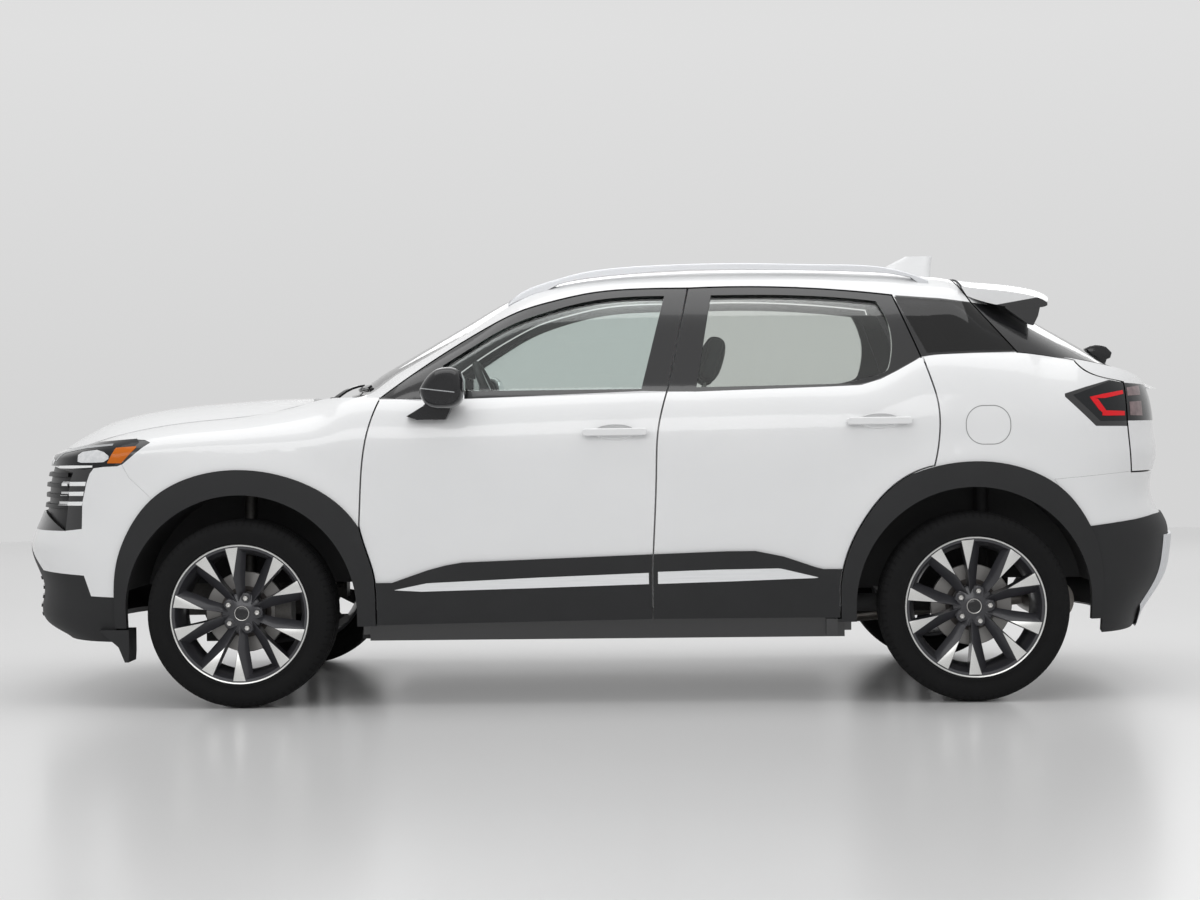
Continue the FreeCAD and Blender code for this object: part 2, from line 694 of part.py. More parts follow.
def feature(name, shape):
    """Sub-part whose shape comes from the body's form."""
    item = doc.addObject("Part::Feature", name)
    item.Label = name
    item.Shape = shape
    subparts.append(item)
    return item


def pair(stem, shape):
    """Sub-part of the left side and its mirror image on the right."""
    feature(stem + "_left", shape)
    feature(stem + "_right", mirror(shape))


def formula(text):
    """Expression text with each size's alias looked up in the sheet."""
    return re.sub(r"[a-z_]+", lambda word: "sizes." + word.group() if word.group() in SIZES else word.group(), text)


def bind(item, **sizes):
    for key, text in sizes.items():
        item.setExpression(key.replace("__", "."), formula(text))


def put(item, x, y, z):
    bind(item, Placement__Base__x=x, Placement__Base__y=y, Placement__Base__z=z)


FRONT_AXLE_TEXT = "(wheelbase + rear_overhang - front_overhang) / 2"
REAR_AXLE_TEXT = "(rear_overhang - front_overhang - wheelbase) / 2"


def origin_plane(body, role):
    return next(item for item in body.Origin.OriginFeatures if item.Role == role)


def polygon(body, name, plane, corners):
    """Sketch of a closed polygon whose corners are bound to the sheet."""
    sketch = body.newObject("Sketcher::SketchObject", name)
    sketch.AttachmentSupport = (origin_plane(body, plane), [""])
    sketch.MapMode = "FlatFace"
    count = len(corners)
    first = [Vector(math.cos(2 * math.pi * i / count), math.sin(2 * math.pi * i / count), 0) for i in range(count)]
    for i in range(count):
        sketch.addGeometry(Part.LineSegment(first[i], first[(i + 1) % count]))
    for i in range(count):
        sketch.addConstraint(Sketcher.Constraint("Coincident", i, 2, (i + 1) % count, 1))
    for i, corner in enumerate(corners):
        for kind, text in zip(("DistanceX", "DistanceY"), corner):
            number = sketch.addConstraint(Sketcher.Constraint(kind, -1, 1, i, 1, 1))
            sketch.setExpression(f"Constraints[{number}]", formula(text))
    return sketch


def turned_profile(body, name, corners):
    """Revolution about the body's Y axis; a corner is radius and distance along the axis."""
    sketch = polygon(body, name + "_profile", "XY_Plane", corners)
    turning = body.newObject("PartDesign::Revolution", name)
    turning.Profile = sketch
    turning.ReferenceAxis = (sketch, ["V_Axis"])
    turning.Angle = 360
    return turning


# wheels

def tyre(name, axle_text, side):
    body = doc.addObject("PartDesign::Body", name)
    body.Label = name
    half = "tyre_width / 2"
    turned_profile(body, name + "_ring", [
        ("tyre_bead_radius", f"-({half}) + tyre_shoulder"),
        ("tyre_radius - 2.6 * tyre_shoulder", f"-({half})"),
        ("tyre_radius - tyre_shoulder", f"-({half}) + tyre_shoulder / 5"),
        ("tyre_radius - tyre_shoulder / 8", f"-({half}) + tyre_shoulder"),
        ("tyre_radius", f"-({half}) + 2 * tyre_shoulder"),
        ("tyre_radius", f"{half} - 2 * tyre_shoulder"),
        ("tyre_radius - tyre_shoulder / 8", f"{half} - tyre_shoulder"),
        ("tyre_radius - tyre_shoulder", f"{half} - tyre_shoulder / 5"),
        ("tyre_radius - 2.6 * tyre_shoulder", half),
        ("tyre_bead_radius", f"{half} - tyre_shoulder")])
    place_wheel(body, axle_text, side)
    subparts.append(body)


def place_wheel(body, axle_text, side):
    if side < 0:
        body.Placement = FreeCAD.Placement(Vector(0, 0, 0), Rotation(Vector(0, 0, 1), 180))
    put(body, axle_text, "wheel_centre_out" if side > 0 else "-wheel_centre_out", "tyre_radius")


def rim(name, axle_text, side):
    body = doc.addObject("PartDesign::Body", name)
    body.Label = name
    half = "rim_width / 2"
    seat = "tyre_bead_radius - seat_gap"
    turned_profile(body, name + "_barrel", [
        ("barrel_radius - barrel_wall", f"-({half})"),
        ("rim_radius - barrel_wall", f"-({half})"),
        ("rim_radius - barrel_wall", f"-({half}) + barrel_wall"),
        (seat, f"-({half}) + barrel_wall"),
        ("barrel_radius", f"-({half}) + 5 * barrel_wall"),
        ("barrel_radius", f"{half} - 5 * barrel_wall"),
        (seat, f"{half} - barrel_wall"),
        ("rim_radius", f"{half} - barrel_wall"),
        ("rim_radius", f"{half}"),
        ("barrel_radius + barrel_wall", f"{half}"),
        ("barrel_radius - barrel_wall", f"{half} - 3 * barrel_wall")])
    turned_profile(body, name + "_face", [
        ("0", "rim_width / 2 - rim_face_depth - rim_web / 2"),
        ("hub_radius", "rim_width / 2 - rim_face_depth - rim_web"),
        ("barrel_radius", "rim_width / 2 - rim_web"),
        ("barrel_radius", "rim_width / 2 - barrel_wall / 3"),
        ("hub_radius", "rim_width / 2 - rim_face_depth + rim_web / 4"),
        ("0", "rim_width / 2 - rim_face_depth + rim_web / 4")])
    turned_profile(body, name + "_hat", [
        ("0", "-disc_inset"),
        ("disc_radius", "-disc_inset"),
        ("disc_radius", "disc_thickness - disc_inset"),
        ("hub_radius", "disc_thickness - disc_inset"),
        ("hub_radius", "rim_width / 2 - rim_face_depth"),
        ("0", "rim_width / 2 - rim_face_depth")])
    window = polygon(body, name + "_window", "XZ_Plane", [
        ("-spoke_root_half / 2", "hub_radius + barrel_wall"),
        ("spoke_root_half / 2", "hub_radius + barrel_wall"),
        ("2.6 * spoke_root_half", "barrel_radius - 3 * barrel_wall"),
        ("0", "barrel_radius - 2 * barrel_wall"),
        ("-2.6 * spoke_root_half", "barrel_radius - 3 * barrel_wall")])
    bind(window, AttachmentOffset__Base__z="-rim_width / 2 - overrun")
    cut = body.newObject("PartDesign::Pocket", name + "_cut")
    cut.Profile = window
    bind(cut, Length="rim_width / 2 + overrun + disc_inset - 2 * disc_thickness + rim_web / 2")
    cut.Reversed = True
    ring = body.newObject("PartDesign::PolarPattern", name + "_windows")
    ring.Originals = [cut]
    ring.Axis = (window, ["N_Axis"])
    ring.Angle = 360
    ring.Occurrences = 10
    body.Tip = ring
    place_wheel(body, axle_text, side)
    subparts.append(body)


# running gear

def kingpin_point(height, side):
    lean = math.tan(math.radians(mm.kingpin_lean))
    return Vector(front_axle(), side * (mm.kingpin_out - (height - mm.tyre_radius) * lean), height)


def knuckles():
    """Front knuckles with strut and brake caliper, turning about the strut's line."""
    hub = Vector(front_axle(), mm.kingpin_out, mm.tyre_radius)
    disc_back = mm.wheel_centre_out - mm.disc_inset
    upright = rod(kingpin_point(mm.tyre_radius - mm.ball_joint_drop, 1), kingpin_point(mm.strut_top, 1),
                  mm.strut_radius)
    carrier = rod(hub, Vector(hub.x, disc_back - mm.shut_gap, hub.z), mm.hub_carrier_radius)
    stub = rod(hub, Vector(hub.x, disc_back - mm.seat_gap, hub.z), mm.hub_carrier_radius / 2)
    arm = rod(hub, hub + Vector(-mm.disc_radius, -2 * mm.strut_radius, 0), mm.strut_radius / 2)
    grip = mm.disc_radius * 0.75
    outer = mm.disc_radius + mm.strut_radius
    pads_out = disc_back + mm.disc_thickness + mm.strut_radius
    pads = box(hub.x - outer, hub.x - grip, mm.kingpin_out, pads_out, hub.z - grip / 2, hub.z + grip / 2)
    slot = Part.makeCylinder(mm.disc_radius + mm.shut_gap, mm.disc_thickness + 2 * mm.shut_gap,
                             Vector(hub.x, disc_back - mm.shut_gap, hub.z), Vector(0, 1, 0))
    link = rod(hub, Vector(hub.x - outer + mm.strut_radius / 2, hub.y, hub.z), mm.strut_radius / 2)
    pair("knuckle", joined([upright, carrier, stub, arm, link, pads.cut(slot)]))


def rear_axle_beam():
    """Twist beam with its trailing arms, hub carriers and dampers."""
    x, z = rear_axle(), mm.tyre_radius
    pivot = x + mm.arch_radius + 2 * mm.rear_beam_radius
    lead = Vector(x + mm.arch_radius / 2, 0, z)
    out = Vector(0, mm.rear_arm_out, 0)
    parts = [rod(lead - out, lead + out, mm.rear_beam_radius)]
    housing = mm.arch_radius + mm.liner_clearance
    for side in (1, -1):
        y = side * mm.rear_arm_out
        end = Vector(x, y, z)
        parts.append(rod(Vector(pivot, y, z), end, mm.rear_beam_radius * 0.8))
        parts.append(rod(Vector(pivot, y - mm.rear_beam_radius, z), Vector(pivot, y + mm.rear_beam_radius, z),
                         mm.rear_beam_radius))
        parts.append(rod(end, Vector(x, side * (mm.wheel_centre_out - mm.disc_inset - mm.shut_gap), z),
                         mm.hub_carrier_radius))
        parts.append(rod(end, Vector(x, side * (mm.wheel_centre_out - mm.disc_inset - mm.seat_gap), z),
                         mm.hub_carrier_radius / 2))
        back = x - mm.hub_carrier_radius
        top = z + mm.arch_rise + math.sqrt(housing ** 2 - (mm.hub_carrier_radius + mm.strut_radius) ** 2)
        parts.append(rod(Vector(back, y, z), Vector(back, y, top - mm.seat_gap), mm.strut_radius))
    feature("rear_axle_beam", joined(parts))


def front_subframe():
    """Cross member with a lower arm to each knuckle's ball joint."""
    x, z = front_axle(), mm.floor_level - mm.floor_thickness
    half = mm.wheelhouse_in
    parts = [box(x - mm.arch_radius / 2, x + mm.arch_radius / 2, -half, half, z, z + mm.floor_thickness)]
    for side in (1, -1):
        joint = kingpin_point(mm.tyre_radius - mm.ball_joint_drop, side)
        way = (joint - kingpin_point(mm.tyre_radius, side)).normalize()
        socket_top = joint + way * mm.seat_gap
        socket = rod(socket_top, socket_top + way * mm.floor_thickness, mm.strut_radius)
        tip = Vector(joint.x, joint.y, z + mm.floor_thickness / 2)
        parts.append(socket)
        for lead in (-0.8, 0.8):
            root = Vector(x + lead * mm.arch_radius / 2, side * half, z + mm.floor_thickness / 2)
            parts.append(rod(root, tip, mm.floor_thickness / 2.5))
    feature("front_subframe", joined(parts))


def exhaust():
    z = mm.floor_level - mm.pipe_radius - mm.seat_gap
    y = -mm.seat_middle / 2
    start = Vector(front_axle() - mm.arch_radius, y, z)
    middle = Vector(rear_axle() + mm.arch_radius * 1.4, y, z)
    pipe = rod(start, middle, mm.pipe_radius)
    back = Vector(station(1.5), y, z + mm.muffler_radius)
    run = rod(Vector(rear_axle() - mm.arch_radius * 0.9, y, z + mm.muffler_radius), back, mm.pipe_radius)
    rise = rod(middle, Vector(rear_axle() - mm.arch_radius * 0.9, y, z + mm.muffler_radius), mm.pipe_radius)
    can = rod(back - Vector(0, mm.muffler_length / 2, 0), back + Vector(0, mm.muffler_length / 2, 0),
              mm.muffler_radius * 0.9)
    feature("exhaust", joined([pipe, rise, run, can]))


def engine():
    block = doc.addObject("Part::Box", "engine")
    block.Label = "engine"
    bind(block, Length="engine_length", Width="engine_width", Height="engine_height")
    put(block, FRONT_AXLE_TEXT + " - engine_length / 3", "-engine_width / 2", "engine_bottom")
    subparts.append(block)


# body shell

HEEL_SHARE = 0.74
STEP_SHARE = 0.965
REAR_FLOOR_SHARE = 1.68
HOUSING_HALF_SHARE = 0.895


def wheel_housing(axle, inner):
    """Inner wheel arch: a half tube over the wheel, closed on its inner side."""
    centre = Vector(axle, 0, mm.tyre_radius + mm.arch_rise)
    inner_radius = mm.arch_radius + mm.liner_clearance
    width = across(HOUSING_HALF_SHARE) - inner
    start = Vector(axle, inner, centre.z)
    tube = Part.makeCylinder(inner_radius + mm.liner_wall, width, start, Vector(0, 1, 0))
    bore = Part.makeCylinder(inner_radius, width, start + Vector(0, mm.liner_wall, 0), Vector(0, 1, 0))
    low = mm.tyre_radius + 2 * mm.rear_beam_radius
    keep = box(axle - 2 * inner_radius, axle + 2 * inner_radius, 0, 2 * mm.half_width, low, 2 * mm.roof_height)
    return tube.cut(bore).common(keep)


def floor_pan():
    """Floor stepped up under the bench and the load space, firewall and all four wheel housings."""
    z0 = mm.floor_level
    z1 = z0 + mm.kick_up
    z2 = z0 + mm.load_rise
    thick = mm.floor_thickness
    half = mm.sill_inner - mm.seat_gap
    front = station(FIREWALL_SHARE)
    heel, step, rear = station(HEEL_SHARE), station(STEP_SHARE), station(REAR_FLOOR_SHARE)
    narrow = rear_axle() + mm.arch_radius + mm.liner_clearance + mm.liner_wall
    parts = [box(heel, front, -half, half, z0, z0 + thick),
             box(heel - thick, heel, -mm.cabin_half, mm.cabin_half, z0, z1 + thick),
             box(narrow, heel, -mm.cabin_half, mm.cabin_half, z1, z1 + thick),
             box(step, narrow, -mm.rear_wheelhouse_in, mm.rear_wheelhouse_in, z1, z1 + thick),
             box(step - thick, step, -mm.rear_wheelhouse_in, mm.rear_wheelhouse_in, z1, z2 + thick),
             box(rear, step, -mm.rear_wheelhouse_in, mm.rear_wheelhouse_in, z2, z2 + thick),
             box(front - mm.firewall_thickness, front, -mm.cabin_half, mm.cabin_half, z0,
                 level(FIREWALL_TOP_SHARE))]
    for axle, inner in ((front_axle(), mm.wheelhouse_in), (rear_axle(), mm.rear_wheelhouse_in)):
        housing = wheel_housing(axle, inner)
        parts.extend([housing, mirror(housing)])
    shell = joined(parts)
    for side in (1, -1):
        top = kingpin_point(mm.strut_top, side)
        bottom = kingpin_point(z0, side)
        shell = shell.cut(rod(bottom, top + (top - bottom) * 0.2, mm.strut_radius + mm.shut_gap))
    feature("floor_pan", shell)


def side_frames():
    """Pillars, sill, cant rail and quarter panel of each side."""
    front_inner = grown(front_door_outline, mm.aperture_gap - mm.door_inset)
    rear_inner = grown(rear_door_outline, mm.aperture_gap - mm.door_inset)
    openings = [side_prism(grown(front_door_outline, mm.shut_gap / 2)),
                side_prism(grown(rear_door_outline, mm.shut_gap / 2))]
    deep_openings = [side_prism(front_inner), side_prism(rear_inner)]
    quarter_keep = side_prism(straight(side_view(QUARTER_KEEP_SHARES)))
    quarter = slab(side_rows, 0, mm.flange_start + mm.panel_thickness).common(quarter_keep)
    quarter = quarter.cut(side_prism(rear_arch)).cut(side_prism(grown(tailgate_outline, mm.shut_gap)))
    for shares in (TAIL_LAMP_SHARES, REAR_COVER_SHARES, REAR_LOWER_SHARES):
        quarter = quarter.cut(side_prism(grown(straight(side_view(shares)), mm.seat_gap)))
    quarter = quarter.cut(openings[1])
    ring_keep = side_prism(straight(side_view(RING_KEEP_SHARES)))
    ring = closed_solid(sunk(side_rows, mm.flange_start), sunk(side_rows, mm.flange_start + mm.flange_depth))
    frame_room = slab(upper_rows, -mm.overrun, mm.door_frame_depth + 3 * mm.shut_gap)
    ring = ring.common(ring_keep).cut(group(deep_openings)).cut(frame_room)
    ring = ring.cut(arch_hole(front_axle(), mm.liner_clearance + mm.liner_wall + mm.seat_gap))
    ring = ring.cut(arch_hole(rear_axle(), mm.liner_clearance + mm.liner_wall + mm.seat_gap))
    cant_keep = side_prism(straight(side_view(CANT_KEEP_SHARES)))
    outer = slab(upper_rows, 0, mm.cant_depth).common(cant_keep).cut(group(openings))
    inner = slab(upper_rows, mm.door_frame_depth + 2 * mm.shut_gap, mm.cant_depth).common(cant_keep)
    cant = outer.fuse(inner.cut(group(deep_openings)))
    cant = cant.cut(side_prism(grown(tailgate_outline, mm.shut_gap)))
    cant = cant.cut(roof_prism(mm.seat_gap)).cut(screen_prism(mm.seat_gap))
    window = door_outline(QUARTER_WINDOW_SHARES)
    cant = cant.cut(side_prism(grown(window, mm.seat_gap)).common(slab(upper_rows, 0, mm.roof_skin)))
    cant = cant.cut(side_prism(grown(window, -mm.overrun / 2)))
    cant = cant.cut(cowl_prism(mm.seat_gap)).cut(slab(side_rows, -mm.overrun, mm.panel_thickness + mm.seat_gap))
    pillar = side_prism(straight(side_view(POST_SHARES)))
    post = slab(upper_rows, mm.door_frame_depth + 2 * mm.shut_gap, mm.cant_depth).common(pillar)
    post = post.cut(group(deep_openings))
    sill = box(rear_axle() + mm.arch_radius + mm.overrun, front_axle() - mm.arch_radius - mm.overrun,
               mm.sill_inner, mm.sill_inner + mm.sill_width, mm.floor_level, mm.sill_top)
    frame = joined([quarter, ring, cant, post, sill])
    feature("side_frame_left", frame.cut(flap_groove()))
    feature("side_frame_right", mirror(frame))


FLAP_SHARES = (1.0, 0.6205)


def flap_groove():
    """Groove round the fuel flap on the left flank."""
    x, z = station(FLAP_SHARES[0]) - mm.flap_width / 2 + mm.panel_thickness * 4, level(FLAP_SHARES[1])
    rings = []
    for grow in (mm.groove_width, 0):
        half, tall = mm.flap_width / 2 + grow, mm.flap_height / 2 + grow
        corner = mm.flap_corner + grow
        plate = box(x - half, x + half, 0, 2 * mm.half_width, z - tall, z + tall)
        upright = [edge for edge in plate.Edges if abs(edge.tangentAt(edge.FirstParameter).y) > 0.9]
        rings.append(plate.makeFillet(corner, upright))
    skin = slab(side_rows, -mm.groove_width, mm.groove_depth)
    return rings[0].cut(rings[1]).common(skin)


ROOF_HALF_SHARE = 0.62
SCREEN_EDGE_SHARES = [(0.118, 0.74), (0.2, 0.73), (0.26, 0.715), (0.32, 0.68), (0.372, 0.625)]
SCREEN_BOTTOM_SHARE = 0.118
SCREEN_TOP_SHARE = 0.352
GATE_TOP_SHARE = 0.985


def bowed(share, width_share, pull):
    """Plan point on a line square to the car, bowed backward or forward at its ends."""
    y = across(width_share)
    return station(share) - pull * (y / across(BOW_HALF_SHARE)) ** 2, y


def screen_outline():
    bottom = [bowed(SCREEN_BOTTOM_SHARE, part, mm.screen_bow) for part in spread(-0.72, 0.72, 7)]
    top = [bowed(SCREEN_TOP_SHARE, part, mm.screen_bow) for part in spread(0.6, -0.6, 7)]
    return [bottom, [bottom[-1], top[0]], top, [top[-1], bottom[0]]]


def screen_prism(grow=0.0):
    return plan_prism(grown(screen_outline(), grow), level(0.6), 2 * mm.roof_height)


def roof_outline():
    front = [bowed(SCREEN_TOP_SHARE, part, mm.screen_bow) for part in spread(-0.6, 0.6, 7)]
    rear_left = (station(GATE_TOP_SHARE), across(ROOF_HALF_SHARE))
    rear_right = (station(GATE_TOP_SHARE), -across(ROOF_HALF_SHARE))
    front = [(x - mm.seat_gap, y) for x, y in front]
    return [front, [front[-1], rear_left], [rear_left, rear_right], [rear_right, front[0]]]


def roof_prism(grow=0.0):
    return plan_prism(grown(roof_outline(), grow), level(0.8), 2 * mm.roof_height)


FIN_FOOT_SHARES = [(0.906, 0), (0.925, 0.7), (0.955, 1), (0.978, 0.86), (0.9795, 0)]
FIN_TOP_SHARES = [(0.944, 0), (0.952, 0.8), (0.966, 1), (0.981, 0.8), (0.983, 0)]
FIN_FOOT_SHARE = 0.96
FIN_TOP_LEVEL_SHARE = 1.036
FIN_BEND_LEVEL_SHARE = 1.012
FIN_BEND_SHARES = [(0.916, 0), (0.936, 0.7), (0.96, 1), (0.9785, 0.8), (0.9805, 0)]


def fin_ring(shares, half, up):
    """Closed smooth section of the aerial's fin at one level."""
    left = [Vector(station(along), half * out, level(up)) for along, out in shares]
    right = [Vector(point.x, -point.y, point.z) for point in left[1:-1]][::-1]
    ring = Part.BSplineCurve()
    ring.interpolate(left + right, PeriodicFlag=True)
    return Part.Wire([ring.toShape()])


def roof_panel():
    """Roof skin with the aerial's fin near its rear edge."""
    panel = slab(upper_rows, 0, mm.roof_skin).common(roof_prism())
    panel = panel.cut(through_prism(grown(tailgate_outline, mm.shut_gap)))
    middle_half = (mm.fin_foot_half + mm.fin_top_half) / 2.6
    fin = Part.makeLoft([fin_ring(FIN_FOOT_SHARES, mm.fin_foot_half, FIN_FOOT_SHARE),
                         fin_ring(FIN_BEND_SHARES, middle_half, FIN_BEND_LEVEL_SHARE),
                         fin_ring(FIN_TOP_SHARES, mm.fin_top_half, FIN_TOP_LEVEL_SHARE)], True, True)
    feature("roof_panel", joined([panel, fin]))


def windscreen():
    glass = slab(upper_rows, mm.seat_gap, mm.glass_thickness + mm.seat_gap)
    feature("windscreen", glass.common(screen_prism()))


COWL_FRONT_SHARE = 0.075
COWL_HALF_SHARE = 0.7


def cowl_prism(grow=0.0):
    half = COWL_HALF_SHARE
    front = [bowed(COWL_FRONT_SHARE, part, mm.screen_bow * 0.6) for part in spread(-half, half, 7)]
    back = [bowed(SCREEN_BOTTOM_SHARE, part, mm.screen_bow) for part in spread(half, -half, 7)]
    back = [(x + 2 * mm.seat_gap, y) for x, y in back]
    outline = [front, [front[-1], back[0]], back, [back[-1], front[0]]]
    return plan_prism(grown(outline, grow), level(0.6), level(0.8))


def cowl():
    cover = slab(upper_rows, 2 * mm.panel_thickness, 4 * mm.panel_thickness).common(cowl_prism())
    feature("cowl", cover.cut(slab(side_rows, -mm.overrun, mm.panel_thickness + mm.seat_gap)))


def hood_outline(shrink=0.0):
    left = [(station(share), across(curve(HOOD_HALF_SHARES, share)) - shrink)
            for share in spread(HOOD_TAIL_SHARE, FRONT_TURN_SHARE, 11)]
    nose = []
    for turn in spread(0, 1, 10):
        share = FRONT_TURN_SHARE - turn * (1 + FRONT_TURN_SHARE)
        onward, kept = turned(share)
        start = station(FRONT_TURN_SHARE)
        nose.append((start + (station(HOOD_NOSE_SHARE) - shrink - start) * onward,
                     (across(HOOD_HALF_SHARES[0][1]) - shrink) * kept))
    half = left[:-1] + nose
    full = half + [(x, -y) for x, y in half[:-1]][::-1]
    rear = [bowed(0.068, part, mm.screen_bow * 0.55) for part in spread(-0.67, 0.67, 7)]
    rear[0] = full[-1]
    rear[-1] = full[0]
    return [full, rear]


def hood():
    panel = closed_solid(layer(hood_rows, 0), layer(hood_rows, mm.hood_depth))
    feature("hood", panel.common(plan_prism(hood_outline(), level(0.4), level(0.9))))


def fenders():
    keep = grown(straight(side_view(FENDER_SPLIT_SHARES + [(0.3, 0.8), (0.3, 0.36), (-0.3, 0.36)])), -mm.seat_gap)
    wing = slab(side_rows, 0, mm.panel_thickness).common(side_prism(keep))
    wing = wing.cut(side_prism(front_arch)).cut(side_prism(grown(front_door_outline, mm.shut_gap / 2)))
    wing = wing.cut(side_prism(grown(straight(side_view(HEADLAMP_SHARES)), mm.seat_gap)))
    behind = side_prism(straight(side_view(BEHIND_FENDER_SHARES)))
    wing = wing.cut(behind).cut(screen_prism(mm.seat_gap))
    feature("fenders", group([wing, mirror(wing)]))


def nose_keep():
    return straight(side_view(FENDER_SPLIT_SHARES + [(-1.2, 0.8), (-1.2, 0.1), (-0.3, 0.1)]))


def front_bumper():
    keep = grown(nose_keep(), -mm.seat_gap)
    cover = slab(nose_rows, 0, mm.panel_thickness).common(through_prism(keep))
    for shares in (HEADLAMP_SHARES, GRILLE_SHARES, LOWER_FRONT_SHARES):
        cover = cover.cut(through_prism(grown(straight(side_view(shares)), mm.seat_gap)))
    cover = cover.cut(through_prism(front_arch))
    feature("front_bumper", cover)


def front_grille():
    back = slab(nose_rows, mm.grille_recess, mm.grille_recess + mm.grille_depth)
    own = through_prism(grown(straight(side_view(GRILLE_SHARES)), -mm.seat_gap))
    back = back.common(own)
    bars = []
    blade = slab(nose_rows, mm.seat_gap, mm.grille_recess + mm.panel_thickness)
    for up in GRILLE_BAR_SHARES:
        top, end = up + GRILLE_BAR_HEIGHT_SHARE, GRILLE_BAR_END_SHARE
        band = straight(side_view([(NOSE_END_SHARE, up), (end, up), (end, top), (NOSE_END_SHARE, top)]))
        bars.append(blade.common(through_prism(band)).common(own))
    feature("front_grille", joined([back] + bars))


DEFLECTOR_SHARES = [(-0.58, 0.178), (-0.5, 0.139), (-0.475, 0.1043), (-0.46, 0.1043), (-0.457, 0.127), (-0.457, 0.178)]
DEFLECTOR_SIDE_SHARES = (0.8, 0.935)


def lower_front():
    """Dark lower bumper with the air deflector that hangs ahead of each front wheel."""
    own = through_prism(straight(side_view(LOWER_FRONT_SHARES)))
    piece = slab(nose_rows, -mm.seat_gap, mm.cladding_in).common(own)
    inner, outer = [across(share) for share in DEFLECTOR_SIDE_SHARES]
    flap = side_prism(straight(side_view(DEFLECTOR_SHARES)), inner, outer)
    piece = piece.cut(through_prism(front_arch))
    feature("lower_front_bumper", joined([piece, flap, mirror(flap)]))


def lamps():
    own = side_prism(straight(side_view(HEADLAMP_SHARES)), across(LAMP_INNER_HALF_SHARE))
    lamp = slab(nose_rows, 0, mm.lamp_depth).common(own)
    lamp = lamp.cut(plan_prism(hood_outline(-mm.shut_gap), level(0.4), level(0.9)))
    feature("headlamps", group([lamp, mirror(lamp)]))
    outer = slab(side_rows, 0, mm.flange_start).common(side_prism(straight(side_view(TAIL_LAMP_SHARES))))
    outer = outer.cut(side_prism(grown(tailgate_outline, mm.shut_gap)))
    feature("tail_lamps", group([outer, mirror(outer)]))


BLADE_SHARES = [(1.8, 0.2465), (1.9, 0.35), (1.905, 0.362), (2.2, 0.362), (2.2, 0.1), (1.8, 0.1)]
BLADE_HALF_SHARE = 0.66


def rear_bumpers():
    cover = slab(tail_rows, 0, mm.panel_thickness)
    upper = cover.common(through_prism(grown(straight(side_view(REAR_COVER_SHARES)), -mm.seat_gap)))
    upper = upper.cut(through_prism(grown(tailgate_outline, mm.shut_gap)))
    feature("rear_bumper", upper.cut(through_prism(rear_arch)))
    lower = slab(tail_rows, -mm.panel_thickness, mm.cladding_in)
    lower = lower.common(through_prism(straight(side_view(REAR_LOWER_SHARES)))).cut(through_prism(rear_arch))
    feature("lower_rear_bumper", lower)
    blade = slab(tail_rows, -mm.panel_thickness - mm.blade_thickness, -mm.panel_thickness - 3 * mm.seat_gap)
    half = across(BLADE_HALF_SHARE)
    blade = blade.common(side_prism(straight(side_view(BLADE_SHARES)), -half, half))
    feature("rear_blade", blade)


def arch_claddings():
    pieces = []
    band = slab(side_rows, -mm.cladding_out, mm.cladding_in)
    for axle, outline in ((front_axle(), front_arch), (rear_axle(), rear_arch)):
        piece = band.common(side_prism(grown(outline, -mm.seat_gap))).cut(arch_hole(axle))
        keep = box(axle - 2 * mm.arch_radius, axle + 2 * mm.arch_radius, 0, 2 * mm.half_width,
                   mm.tyre_radius - mm.arch_radius * 0.12, mm.roof_height)
        piece = piece.common(keep)
        for door in (front_door_outline, rear_door_outline):
            piece = piece.cut(side_prism(grown(door, mm.shut_gap / 2)))
        pieces.extend([piece, mirror(piece)])
    feature("arch_claddings", group(pieces))


def quarter_windows():
    glass = slab(upper_rows, mm.seat_gap, mm.glass_thickness).common(side_prism(door_outline(QUARTER_WINDOW_SHARES)))
    feature("quarter_windows", group([glass, mirror(glass)]))


# doors

FRONT_HANDLE_SHARES = (0.515, 0.615)
HANDLE_END_SHARE = 0.46
HANDLE_ROUND_SHARE = 0.3
REAR_HANDLE_SHARES = (0.873, 0.633)


def doors(stem, outline, window, handle_shares):
    """Door shell: outer skin to the shut line, thick inner part set in from it, and a window frame."""
    own = side_prism(grown(outline, -mm.shut_gap / 2))
    inner_own = side_prism(grown(outline, -mm.door_inset))
    below = side_prism(straight(side_view(DOOR_BELOW_SHARES)))
    skin = slab(side_rows, 0, mm.door_skin).common(own)
    thick = closed_solid(sunk(side_rows, mm.door_skin * 0.8), sunk(side_rows, mm.door_depth)).common(inner_own)
    thick = thick.common(below)
    relieved = side_prism(grown(outline, -mm.shut_gap / 2 - mm.frame_relief))
    thin = slab(upper_rows, 0, mm.frame_skin).common(own).cut(side_prism(window))
    frame = slab(upper_rows, mm.frame_skin, mm.door_frame_depth).common(relieved).cut(side_prism(window))
    above = side_prism(straight(side_view(DOOR_ABOVE_SHARES)))
    frame = frame.common(above).fuse(thin.common(above))
    bar, hollow = door_handle(*handle_shares)
    pair(stem, joined([skin.cut(hollow), thick, frame, bar]))


def edges_along(solid, way):
    """Straight edges that run along a direction."""
    return [edge for edge in solid.Edges
            if edge.Curve.TypeId == "Part::GeomLine" and abs(edge.tangentAt(edge.FirstParameter).dot(way)) > 0.99]


